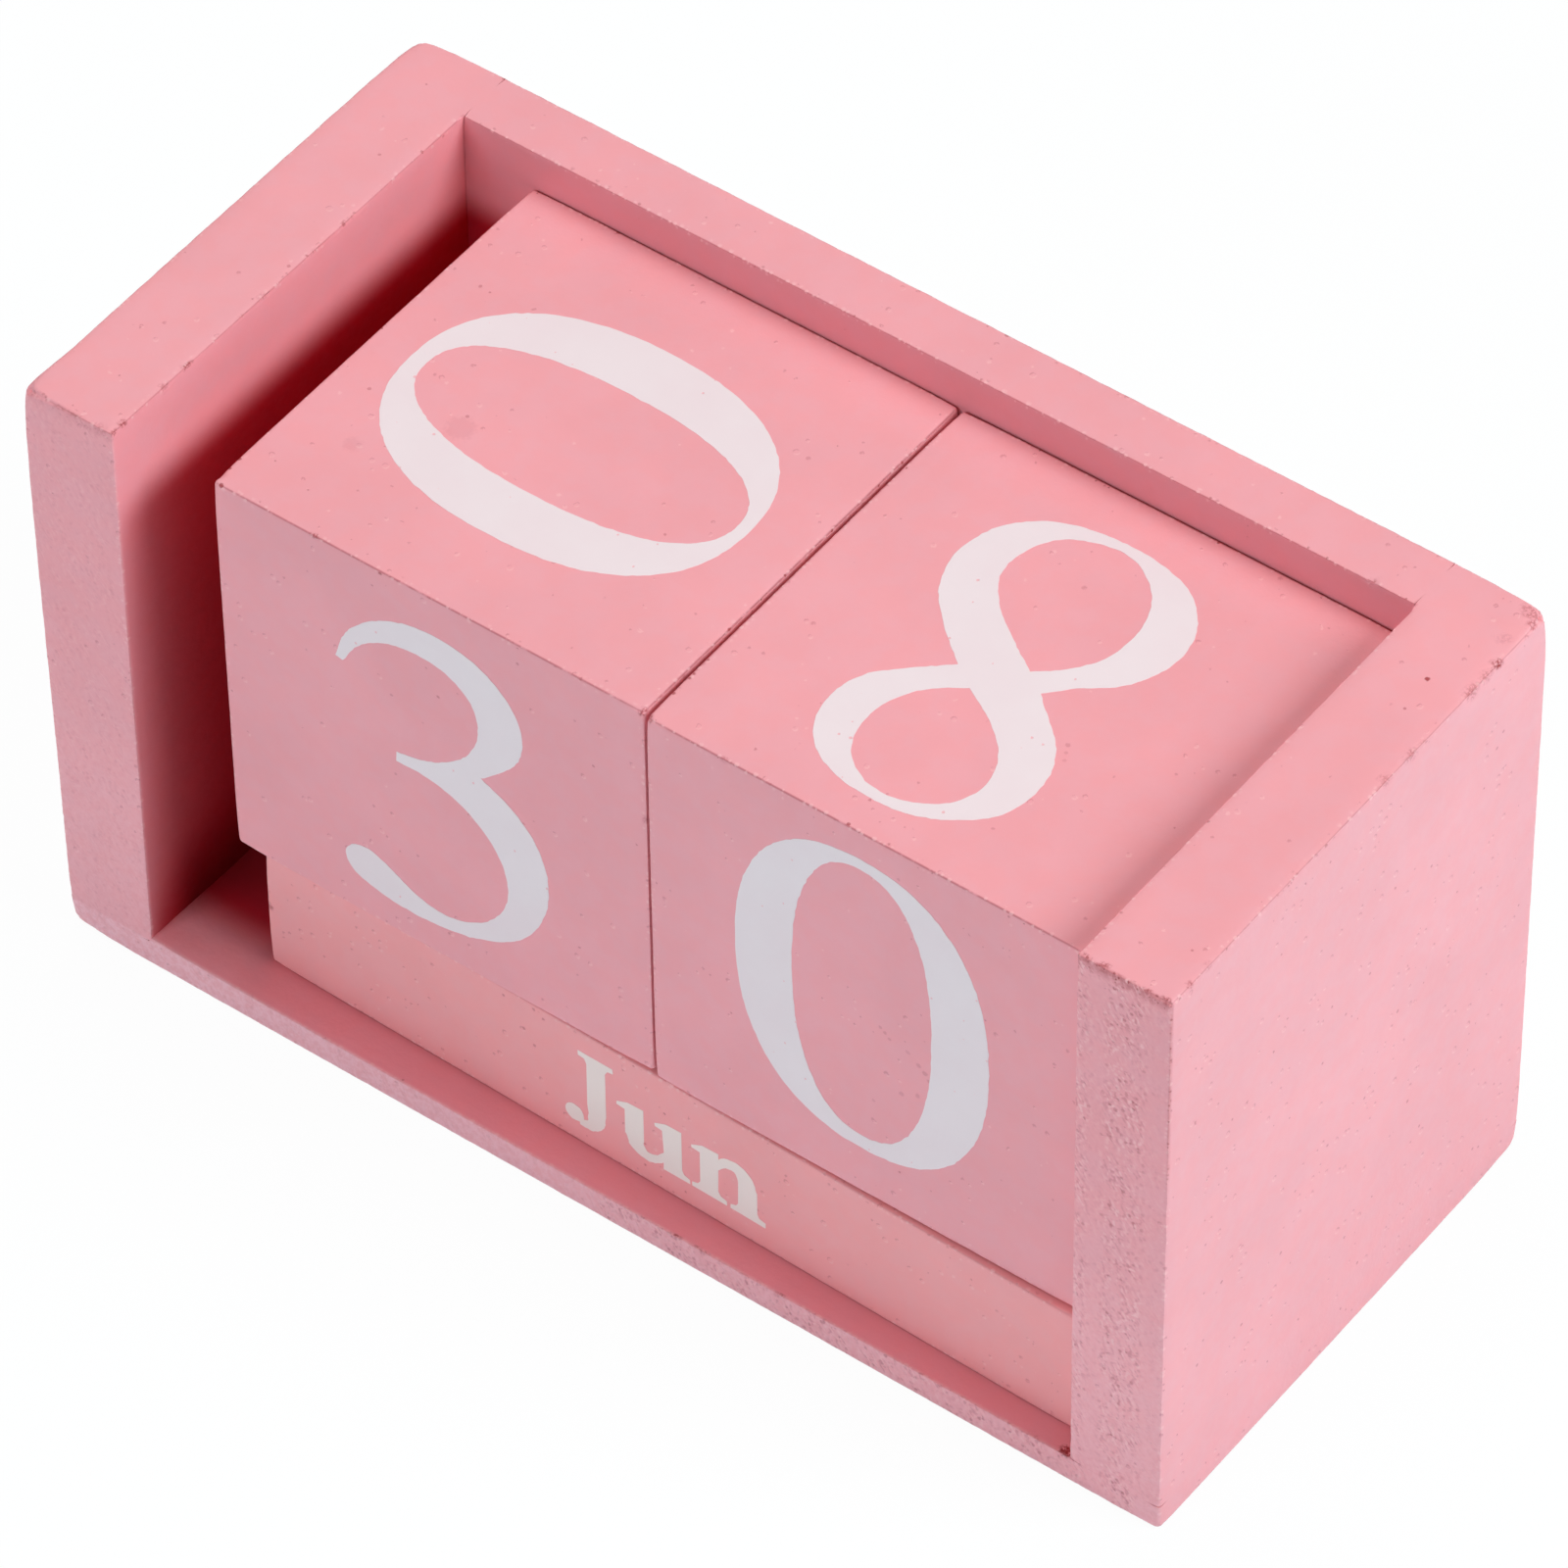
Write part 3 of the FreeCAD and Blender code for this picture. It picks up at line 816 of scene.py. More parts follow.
base_knocks = [
    ((8.4, -27.4, 2.95), 0.5, 0.06, 0.9), ((10.9, -27.4, 2.95), 0.5, 0.08, 1),
    ((13.3, -27.4, 2.95), 0.4, 0.05, 0.7), ((16.2, -27.4, 2.95), 0.35, 0.05, 0.6),
    ((19.7, -27.4, 2.95), 0.4, 0.05, 0.8), ((49.9, -26.9, 3), 0.85, 0.05, 1),
    ((46.9, -27.3, 3), 0.5, 0.05, 0.25),
]
base_board = board("base_board_painted", board_tree("base board", base_edges, filled_corner),
                   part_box("base_board"), casing_paint, base_radii, base_knocks, casing_whole,
                   Wobble=0.08 * MM, Nick_Depth=0.12 * MM, Nick_Share=-0.1, Rough_Front=0.10 * MM,
                   Lying=1.0, Seed=1.0)


def lean_out(places, lows, highs):
    """The left wall's outer front edge leans out a little towards its top."""
    lean = ramp(places[2], lows[2], minus(highs[2], 10.0 * MM), 0.0, LEAN)
    lean = times(lean, ramp(places[1], lows[1], -21.0 * MM, 1.0, 0.0),
                 ramp(places[0], lows[0], highs[0], 1.0, 0.0), -1.0)
    return join([lean, 0.0, 0.0])


def wall_edges(outer, inner):
    """The rounded edges of a side wall, which stops being free where the back board meets its inner face."""
    return [
        (outer, "front", "Corner Radius", None), (outer, "back", "Back Corner Radius", None),
        (inner, "front", "Rim Radius", None), (outer, "top", "Rim Radius", None),
        ("front", "top", "Rim Radius", None), ("back", "top", "Rim Radius", None),
        (inner, "top", "Crease Radius", (1, -FAR_OFF, tray_back)),
    ]


left_knocks = [
    ((-50.45, -16.9, 67.25), 0.5, 0.1, 0.9), ((-50.45, -20.1, 67.25), 0.7, 0.1, 0.4),
    ((-50.45, -25.6, 67.25), 0.6, 0.1, 0.8), ((-50.45, -26.9, 67.2), 0.5, 0.1, 0.6),
    ((-50.45, -6.5, 67.25), 0.5, 0.1, 0.35), ((-50.45, -9.5, 67.25), 0.35, 0.08, 0.3),
    ((-50.45, 0.3, 67.25), 0.4, 0.08, 0.35), ((-50.45, 5.6, 67.25), 0.4, 0.08, 0.4),
    ((-55.7, -27.45, 67.2), 0.4, 0.06, 0.7), ((-54.2, -27.45, 67.2), 0.45, 0.06, 0.6),
    ((-58.7, -27.4, 67.2), 0.5, 0.08, 0.5), ((-51.9, -27.4, 67.2), 0.9, 0.06, 0.2),
    ((-57, -27.45, 67.2), 0.3, 0.05, 0.4),
]
right_knocks = [
    ((59.95, 19.9, 67.2), 0.75, 0.12, 1), ((59.95, 18.2, 67.2), 0.8, 0.1, 0.45),
    ((59.95, 16, 67.2), 1, 0.1, 0.45), ((58.6, 22.4, 67.28), 0.8, 0.04, 0.2),
    ((59.9, 8.4, 67.25), 0.38, 0.08, 1), ((59.9, 7.3, 67.2), 0.9, 0.1, 0.5),
    ((59.9, 3.4, 67.2), 0.8, 0.08, 0.35), ((58.9, 26.4, 67.2), 1.3, 0.12, 0.45),
    ((59.6, 25.4, 67.2), 0.6, 0.08, 0.6), ((51.2, -27.4, 67.2), 0.6, 0.08, 0.8),
    ((53, -27.4, 67.2), 0.7, 0.08, 0.8), ((54.7, -27.4, 67.2), 0.5, 0.06, 0.6),
    ((57.4, -27.4, 67.2), 0.5, 0.08, 1), ((59.3, -27.3, 67.1), 0.55, 0.08, 1),
    ((59.9, -24.6, 67.2), 0.5, 0.05, 0.6), ((59.9, -22, 67.2), 0.6, 0.05, 0.3),
]
back_knocks = [
    ((45.9, 21.35, 67.25), 0.7, 0.14, 0.15), ((20, 21.35, 67.25), 0.4, 0.08, 0.2),
    ((-12, 21.35, 67.25), 0.4, 0.08, 0.2),
]
left_wall = board("left_wall_painted", board_tree("left wall", wall_edges("left", "right"), lean_out),
                  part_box("left_wall"), casing_paint, wall_radii, left_knocks, casing_whole, Wobble=0.12 * MM,
                  Nick_Depth=0.14 * MM, Nick_Share=0.0, Rough_Front=0.08 * MM, Seed=2.0)
right_wall = board("right_wall_painted", board_tree("right wall", wall_edges("right", "left")),
                   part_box("right_wall"), casing_paint, wall_radii, right_knocks, casing_whole,
                   Wobble=0.14 * MM, Nick_Depth=0.14 * MM, Nick_Share=0.0, Rough_Front=0.12 * MM, Seed=3.0)
back_edges = [("back", "top", "Rim Radius", None), ("front", "top", "Crease Radius", None)]
back_radii = {"Rim Radius": CASING_RIM, "Crease Radius": CASING_CREASE}
back_board = board("back_board_painted", board_tree("back board", back_edges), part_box("back_board"),
                   casing_paint, back_radii, back_knocks, casing_whole, Wobble=0.14 * MM,
                   Nick_Depth=0.14 * MM, Nick_Share=0.05, Seed=2.0)
for piece, node in ((base_board, "base_board"), (left_wall, "left_wall"), (right_wall, "right_wall"),
                    (back_board, "back_board")):
    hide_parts(node)
    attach(piece, "casing")


# The month bars. Three square bars of the same board, rounded over lightly and painted like the casing,
# that lie side by side on the base. Each long face but one carries a month, screen printed in white
# with a bold seriffed letter, and the print's rim is a little ragged where it lifted off the screen.

BAR_EDGE = 0.24 * MM
BAR_FOOT = 0.08 * MM
BAR_SETTLE = 0.08 * MM
BAR_VERTEX = 0.4 * MM
BAR_SKEW = -BAR_SLANT
BAR_GAP = 0.1 * MM
BAR_PAINT = (0.955, 0.362, 0.375, 1.0)
PRINT_PROUD = 0.02 * MM
PRINT_DEEP = 0.13 * MM
RAGGED = 0.10 * MM
SMALL_X = 6.15
CAPITAL = 9.25
TALL = 9.9
STEM = 2.05
SLAB_REACH = 0.9
SLAB = 0.55
BRACKET = 1.2
SLAB_BEND = (0.25, 0.18)
BASELINE = 2.9
PRINT_WHITE = (0.860, 0.685, 0.712, 1.0)
MONTH_WHITE = (0.930, 0.735, 0.697, 1.0)
PRINT_CLOUDS = (110.0, 3.0, 0.6, 8.0)
PRINT_PEEL = (1300.0, 2.0, 0.5, 2.0)
PRINT_SHEEN = (700.0, 2.0, 0.5, 3.0)
PINHOLES = (900.0, 0.25, 0.10)


def traced(points, stride):
    """A closed outline through (x, y) points, smooth except at those that have a third part."""
    count = len(points)
    places = [Vector(point[:2]) for point in points]
    outline = []
    for here in range(count):
        ahead = (here + 1) % count
        length = (places[ahead] - places[here]).length
        tangents = []
        for spot in (here, ahead):
            before, after = places[spot] - places[spot - 1], places[(spot + 1) % count] - places[spot]
            if len(points[spot]) > 2:
                tangents.append(places[ahead] - places[here])
            else:
                slope = (before * (after.length / before.length) + after * (before.length / after.length))
                tangents.append(slope * (length / (before.length + after.length)))
        straight = len(points[here]) > 2 and len(points[ahead]) > 2
        steps = 1 if straight else max(2, round(length / stride))
        for number in range(steps):
            t = number / steps
            outline.append((2 * t**3 - 3 * t**2 + 1) * places[here] + (t**3 - 2 * t**2 + t) * tangents[0]
                           + (3 * t**2 - 2 * t**3) * places[ahead] + (t**3 - t**2) * tangents[1])
    return outline


def corners(*points):
    """A straight sided outline."""
    return [Vector(point) for point in points]


def oval(left, right, low, high, fullness=2.2, count=48):
    """An upright oval in its box, rounder than an ellipse by its fullness."""
    outline = []
    for number in range(count):
        angle = math.tau * number / count
        across, up = math.cos(angle), math.sin(angle)
        across = math.copysign(abs(across) ** (2 / fullness), across)
        up = math.copysign(abs(up) ** (2 / fullness), up)
        outline.append(Vector(((left + right) / 2 + across * (right - left) / 2,
                               (low + high) / 2 + up * (high - low) / 2)))
    return outline


def ball(x, y, radius):
    """The round end of a stroke."""
    return oval(x - radius, x + radius, y - radius, y + radius, 2.0, 20)


def ribbon(*path):
    """A stroke that swells and thins along a path of (x, y, width)."""
    sides = ([], [])
    for number, (x, y, width) in enumerate(path):
        before, after = path[max(number - 1, 0)], path[min(number + 1, len(path) - 1)]
        ahead = Vector((after[0] - before[0], after[1] - before[1])).normalized()
        aside = Vector((-ahead.y, ahead.x)) * width / 2
        sides[0].append(Vector((x, y)) - aside)
        sides[1].append(Vector((x, y)) + aside)
    loop = sides[0] + sides[1][::-1]
    ends = {0, len(path) - 1, len(path), 2 * len(path) - 1}
    return traced([(*spot, 0) if number in ends else tuple(spot) for number, spot in enumerate(loop)], 0.3)


def slab_end(x, level, outwards, left, right):
    """The bracketed slab that ends a stem at a level, drawn from its one side to the other."""
    inner, outer = level - outwards * BRACKET, level - outwards * SLAB
    bend = outer - outwards * SLAB_BEND[1]
    far = x + STEM
    points = [(far, inner)]
    if right:
        points += [(far + SLAB_BEND[0], bend), (far + SLAB_REACH, outer), (far + SLAB_REACH, level)]
    else:
        points += [(far, level)]
    if left:
        points += [(x - SLAB_REACH, level), (x - SLAB_REACH, outer), (x - SLAB_BEND[0], bend)]
    else:
        points += [(x, level)]
    return points + [(x, inner)]


def stem(x, low, high, foot="both", head="flag"):
    """An upright stroke with its slabs, or with the slanted flag that starts a small letter."""
    if head == "flag":
        tip = x - SLAB_REACH
        top = [(x + STEM, high), (x + 0.3, high - 0.1), (tip, high - 0.7), (tip, high - 1.05),
               (x, high - 1.15)]
    elif head is None:
        top = [(x + STEM, high), (x, high)]
    else:
        top = slab_end(x, high, 1, head in ("both", "left"), head in ("both", "right"))
    if foot is None:
        bottom = [(x + STEM, low), (x, low)]
    else:
        bottom = slab_end(x, low, -1, foot in ("both", "left"), foot in ("both", "right"))
    return corners(*bottom[::-1], *top)


def block_of(left, low, right, high):
    """A plain rectangle."""
    return corners((left, low), (right, low), (right, high), (left, high))


BOWL = (oval(1.9, 7.2, -0.1, 6.25), oval(2.95, 5.15, 0.55, 5.6))
LETTERS = {
    "A": (9.5, [([corners((4.2, 9.35), (5.1, 9.35), (8.6, 0.3), (6.1, 0.3), (3.9, 7.4)),
                  corners((4.2, 9.35), (4.9, 8.0), (2.1, 0.3), (1.2, 0.3)), block_of(2.4, 2.8, 6.4, 3.45),
                  block_of(0.0, 0.0, 3.3, 0.55), block_of(5.1, 0.0, 9.5, 0.55)], [])]),
    "D": (9.0, [([stem(1.1, 0, CAPITAL, "left", "left"), traced([(3.0, 9.25, 0), (5.0, 9.2), (7.7, 7.9),
            (8.6, 4.6), (7.7, 1.3), (5.0, 0.05), (3.0, 0.0, 0)], 0.3)], [traced([(3.15, 8.65, 0), (4.5, 8.5),
            (5.9, 7.2), (6.3, 4.6), (5.9, 2.0), (4.5, 0.7), (3.15, 0.6, 0)], 0.3)])]),
    "F": (7.9, [([stem(1.1, 0, CAPITAL, "both", "left"), block_of(2.6, 8.6, 7.2, 9.25),
            block_of(3.0, 4.5, 5.4, 5.15), corners((6.0, 8.7), (6.9, 6.7), (7.35, 6.7), (7.2, 9.25)),
            block_of(5.15, 3.6, 5.6, 6.0)], [])]),
    "J": (6.0, [([stem(2.7, 2.2, CAPITAL, None, "both"), ribbon((3.72, 2.5, 2.05), (3.6, 1.0, 1.85),
            (2.9, 0.0, 1.2), (1.7, -0.2, 0.8)), ball(1.2, 0.65, 1.05)], [])]),
    "M": (11.9, [([block_of(1.6, 0.0, 2.45, 9.0), corners((0.9, 9.25), (3.7, 9.25), (6.5, 3.3), (5.6, 0.4),
            (5.1, 0.4)), corners((8.5, 9.25), (9.6, 9.25), (5.8, 0.4), (5.1, 0.4), (5.3, 2.0)),
            stem(8.5, 0, CAPITAL, "both", "right"), block_of(0.3, 0.0, 3.8, 0.55),
            block_of(0.1, 8.7, 3.0, 9.25)], [])]),
    "N": (9.7, [([block_of(1.6, 0.0, 2.4, 9.0), block_of(0.3, 0.0, 3.7, 0.55), block_of(0.1, 8.7, 3.2, 9.25),
                  block_of(7.4, 0.3, 8.2, 9.25), block_of(6.1, 8.7, 9.5, 9.25),
                  corners((0.9, 9.25), (3.5, 9.25), (8.2, 1.3), (8.2, -0.1), (7.3, -0.1), (1.6, 8.3))], [])]),
    "O": (9.3, [([oval(0.4, 8.9, -0.15, 9.4)], [oval(2.8, 6.5, 0.4, 8.85)])]),
    "S": (6.7, [([ribbon((5.4, 7.5, 0.5), (4.6, 8.6, 0.7), (3.2, 8.95, 0.95), (1.8, 8.2, 1.6),
            (1.75, 6.6, 2.0), (3.2, 5.1, 2.3), (4.75, 3.6, 2.1), (4.85, 1.9, 1.8), (3.6, 0.5, 0.95),
            (2.2, 0.35, 0.7), (1.0, 1.7, 0.5)), block_of(5.2, 6.5, 5.7, 9.3), block_of(0.5, -0.1, 1.0, 2.9)],
            [])]),
    "a": (7.0, [([ribbon((1.5, 5.0, 1.1), (2.4, 5.75, 0.9), (3.7, 5.65, 1.2), (4.6, 4.8, 1.8),
            (4.8, 3.5, 2.0), (4.8, 1.4, 2.0)), ball(1.55, 4.75, 0.85), ribbon((4.9, 1.5, 1.9),
            (5.3, 0.6, 1.3), (6.1, 0.35, 0.7), (6.8, 0.8, 0.35))], []), ([oval(0.3, 4.9, -0.1, 3.6)],
            [oval(2.1, 3.8, 0.6, 2.95)])]),
    "b": (7.6, [([stem(0.9, 0, TALL, None, "flag"), BOWL[0]], [BOWL[1]])]),
    "c": (5.9, [([oval(0.3, 5.8, -0.1, 6.25)], [oval(2.3, 4.6, 0.55, 5.7), corners((3.2, 2.0), (6.2, 1.3),
            (6.2, 4.9), (3.2, 4.9))]), ([ball(4.75, 4.7, 0.95)], [])]),
    "e": (6.3, [([oval(0.3, 6.0, -0.1, 6.25)], [traced([(2.3, 3.45, 0), (4.15, 3.45, 0), (4.05, 4.8),
            (3.25, 5.75), (2.45, 4.9)], 0.3), traced([(2.3, 2.8, 0), (6.3, 2.8, 0), (6.3, 1.7, 0),
            (5.2, 1.15), (4.0, 0.8), (2.8, 1.35)], 0.3)])]),
    "g": (6.9, [([oval(0.3, 5.6, 0.1, 6.25)], [oval(2.25, 4.0, 0.75, 5.65)]),
            ([stem(3.95, -0.4, SMALL_X, None, None), ribbon((4.98, 0.2, 2.05), (4.8, -1.2, 1.7),
            (3.7, -2.15, 0.95), (2.3, -2.1, 0.8)), ball(1.7, -1.6, 0.8), corners((5.9, 6.15), (5.9, 5.3),
            (6.9, 5.5), (6.9, 6.15))], [])]),
    "l": (4.0, [([stem(0.95, 0, TALL)], [])]),
    "n": (8.3, [([stem(0.9, 0, SMALL_X), ribbon((2.6, 4.2, 0.7), (3.5, 5.35, 1.0), (4.8, 5.7, 1.35),
            (5.85, 5.0, 1.85), (6.15, 3.5, 2.05)), stem(5.13, 0, 3.9, "both", None)], [])]),
    "o": (6.9, [([oval(0.3, 6.6, -0.1, 6.25)], [oval(2.35, 4.55, 0.4, 5.75)])]),
    "p": (7.6, [([stem(0.9, -2.6, SMALL_X), BOWL[0]], [BOWL[1]])]),
    "r": (5.9, [([stem(0.9, 0, SMALL_X), ribbon((2.6, 4.0, 0.7), (3.3, 5.2, 0.95), (4.4, 5.65, 1.1)),
            ball(4.8, 5.15, 0.95)], [])]),
    "t": (4.8, [([corners((1.2, 1.5), (3.25, 1.5), (3.25, 8.2), (2.7, 8.2), (1.2, 6.2)),
            block_of(0.1, 5.55, 4.6, 6.15), ribbon((2.22, 1.9, 2.05), (2.6, 0.85, 1.6), (3.5, 0.4, 0.9),
            (4.6, 1.0, 0.4))], [])]),
    "u": (8.3, [([stem(0.9, 1.9, SMALL_X, None), ribbon((1.92, 2.4, 2.05), (2.2, 1.1, 1.8), (3.3, 0.45, 1.2),
            (4.5, 0.8, 0.9), (5.4, 1.9, 0.7)), stem(5.13, 0, SMALL_X, "right", "flag")], [])]),
    "v": (7.4, [([corners((0.9, 6.15), (3.2, 6.15), (4.9, 1.9), (4.2, -0.05), (3.4, -0.05)),
                  corners((5.6, 6.15), (6.4, 6.15), (4.2, -0.05), (3.6, -0.05), (4.0, 1.6)),
                  block_of(0.1, 5.6, 4.1, 6.15), block_of(4.9, 5.6, 7.3, 6.15)], [])]),
}


def united(layers):
    """The triangles that cover every layer: what its first outlines cover and its second don't."""
    points, loops, owners = [], [], []
    for number, layer in enumerate(layers):
        for cuts, outlines in enumerate(layer):
            for outline in outlines:
                area = sum(a.x * b.y - b.x * a.y for a, b in zip(outline, outline[1:] + outline[:1]))
                loops.append(list(range(len(points), len(points) + len(outline))))
                points.extend(outline if area > 0 else outline[::-1])
                owners.append((number, cuts))
    spots, _, triangles, _, _, sources = geometry.delaunay_2d_cdt(points, [], loops, 1, 1e-4)
    kept = []
    for triangle, source in zip(triangles, sources):
        here = {owners[loop] for loop in source}
        if any((number, 0) in here and (number, 1) not in here for number in range(len(layers))):
            kept.append(triangle)
    used = sorted({spot for triangle in kept for spot in triangle})
    order = {spot: number for number, spot in enumerate(used)}
    return [spots[spot] for spot in used], [[order[spot] for spot in triangle] for triangle in kept]


FACE_WAYS = {"front": ((1, 0, 0), (0, 0, 1)), "back": ((-1, 0, 0), (0, 0, 1)),
             "left": ((0, -1, 0), (0, 0, 1)), "right": ((0, 1, 0), (0, 0, 1)),
             "top": ((1, 0, 0), (0, 1, 0)), "bottom": ((1, 0, 0), (0, -1, 0))}


def on_face(box, face, spots):
    """Flat places in millimetres from the face's lower left corner, laid just under the face."""
    right, up = (Vector(way) for way in FACE_WAYS[face])
    out = right.cross(up)
    sides = right + up - out
    corner = Vector(box[0][axis] if sides[axis] > 0 else box[1][axis] for axis in range(3))
    corner += out * (PRINT_PROUD - PRINT_DEEP)
    return [corner + (right * spot.x + up * spot.y) * MM for spot in spots]


def print_tree():
    """Geometry Nodes that print flat triangles: a ragged rim, the print's thickness, and its finish."""
    inputs = {"Flat": "Geometry", "Depth": PRINT_DEEP, "Ragged": RAGGED, "Finish": "Material"}
    tree, given, wanted = new_group("white print", "GeometryNodeTree", inputs, {"Print": "Geometry"})
    spot = step(tree, "GeometryNodeInputPosition").outputs[0]
    noise = {"Vector": spot, "Scale": 1500.0, "Detail": 3.0, "Roughness": 0.7}
    cloud = step(tree, "ShaderNodeTexNoise", noise)
    shift = vector_maths("SUBTRACT", cloud.outputs["Color"], (0.5, 0.5, 0.5))
    out = step(tree, "GeometryNodeInputNormal").outputs[0]
    shift = vector_maths("SUBTRACT", shift, vector_maths("PROJECT", shift, out))
    shift = scaled(shift, times(given["Ragged"], 4.0))
    flat = step(tree, "GeometryNodeSetPosition", {"Geometry": given["Flat"], "Offset": shift}).outputs[0]
    rise = {"Mesh": flat, "Offset Scale": given["Depth"], "Individual": False}
    raised = step(tree, "GeometryNodeExtrudeMesh", rise, mode="FACES")
    under = step(tree, "GeometryNodeFlipFaces", {0: flat})
    both = step(tree, "GeometryNodeJoinGeometry")
    tree.links.new(under.outputs[0], both.inputs[0])
    tree.links.new(raised.outputs["Mesh"], both.inputs[0])
    mesh = step(tree, "GeometryNodeMergeByDistance", {0: both.outputs[0], "Distance": HAIR}).outputs[0]
    mesh = step(tree, "GeometryNodeRealizeInstances", {0: mesh}).outputs[0]
    mesh = step(tree, "GeometryNodeSetMaterial", {"Geometry": mesh, "Material": given["Finish"]}).outputs[0]
    connect(mesh, wanted["Print"])
    return tree


def printed_white(name, white):
    """The white print: thin over the paint, so faintly warm, with pinholes and the relief of the paint."""
    material, tree, surface = new_material(name)
    spot = object_place(tree)
    cloud = ramp(grain(spot, *PRINT_CLOUDS), 0.3, 0.7)
    thin = (white[0] * 0.99, white[1] * 0.965, white[2] * 0.97, 1.0)
    colour = mix_colour(cloud, white, thin)
    holes = speckled(spot, *PINHOLES)[0]
    colour = mix_colour(times(holes, 0.7), colour, PAINT)
    peel = grain(spot, *PRINT_PEEL)
    height = minus(times(peel, 0.010), times(holes, 0.02))
    relief = step(tree, "ShaderNodeBump", {"Strength": 1.0, "Distance": MM, "Height": height})
    rough = ramp(grain(spot, *PRINT_SHEEN), 0.3, 0.7, 0.48, 0.58)
    inputs = {"Base Color": colour, "Roughness": rough, "Normal": relief.outputs[0]}
    shader = step(tree, "ShaderNodeBsdfPrincipled", inputs)
    connect(shader.outputs[0], surface)
    return material


print_nodes = print_tree()
white_print = printed_white("white print", PRINT_WHITE)
month_print = printed_white("month print", MONTH_WHITE)


def printed(name, finish, box, marks):
    """All of one piece's print: flat shapes of (spots, triangles), each on its face."""
    places, triangles = [], []
    for face, (spots, flat) in marks:
        triangles += [[spot + len(places) for spot in triangle] for triangle in flat]
        places += on_face(box, face, spots)
    values = {"Depth": PRINT_DEEP, "Ragged": RAGGED, "Finish": finish}
    piece = grow(name, print_nodes, (places, [], triangles), values)
    return piece


def word(letters, middle, baseline):
    """The flat shape of a word, centred on a place."""
    layers, pen = [], 0.0
    for letter in letters:
        width, parts = LETTERS[letter]
        for part in parts:
            layers.append([[[spot + Vector((pen, 0)) for spot in outline] for outline in outlines]
                           for outlines in part])
        pen += width
    spots, triangles = united(layers)
    return [spot + Vector((middle - pen / 2, baseline)) for spot in spots], triangles


EDGE_NAMES = {"bottom": "Foot Radius", "left": "Left Radius", "right": "Right Radius", "back": "Rear Radius"}
ALL_EDGES = []
for face in FACES:
    for other in list(FACES)[list(FACES).index(face) + 1:]:
        if FACES[face][0] != FACES[other][0]:
            finer = [EDGE_NAMES[side] for side in EDGE_NAMES if side in (face, other)]
            ALL_EDGES.append((face, other, (finer + ["Edge Radius"])[0], None))
solid_tree = board_tree("square piece", ALL_EDGES)
bar_spots = [((-40.5, -23.0, 10.3), 0.7, 0.5)]
# The bars' paint has a painted shade along their foot.
bar_paint = painted("bar paint", spots=bar_spots, foot_shade=0.06, Paint=BAR_PAINT, Edge_Line=0.25,
                    Speck_Share=0.55)
bar_radii = dict.fromkeys(("Edge Radius", "Left Radius", "Right Radius", "Rear Radius"), BAR_EDGE)
bar_radii.update({"Foot Radius": BAR_FOOT, "Vertex Radius": BAR_VERTEX})
MONTHS = {"rear_bar": {"top": "Sep", "front": "Oct", "back": "Nov", "bottom": "Dec"},
          "middle_bar": {"top": "Jan", "front": "Feb", "back": "Mar", "bottom": "Apr"},
          "front_bar": {"front": "Jun", "top": "Jul", "back": "Aug"}}
for body, seed in (("rear_bar", 11.0), ("middle_bar", 12.0), ("front_bar", 13.0)):
    node = body.replace("bar", "month_bar")
    low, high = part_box(node)
    low.z -= BAR_SETTLE
    turn = Matrix.Identity(4)
    if body == "front_bar":
        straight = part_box("middle_month_bar")
        low, high = Vector((0, 0, -BAR_SETTLE)), straight[1] - straight[0]
        hinge = Vector((straight[0].x, straight[0].y - BAR_GAP, straight[0].z))
        turn = Matrix.Translation(hinge) @ Matrix.Rotation(BAR_SKEW, 4, "Z")
        turn = turn @ Matrix.Translation((0, -high.y, 0))
    bar = board(body + "_painted", solid_tree, (low, high), bar_paint, bar_radii, Wobble=0.05 * MM,
                Nick_Depth=0.10 * MM, Nick_Share=0.0, Seed=seed)
    middle = (high.x - low.x) / MM / 2
    months = [(face, word(letters, middle, BASELINE)) for face, letters in MONTHS[body].items()]
    lettering = printed(body + "_months", month_print, (low, high), months)
    for piece in (bar, lettering):
        piece.data.transform(turn)
        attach(piece, body)
    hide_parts(node)


# The number blocks. Two blocks of solid board, near cubes, rounded over lightly and painted, with a
# number printed in white on each of their six faces. Between them they show every day of a month.

BLOCK_EDGE = 0.22 * MM
BLOCK_FINE = 0.09 * MM
BLOCK_GAP = 0.15 * MM
BLOCK_VERTEX = 0.35 * MM
NUMBER_STRIDE = 0.45
BLOCK_TOP = 63.1

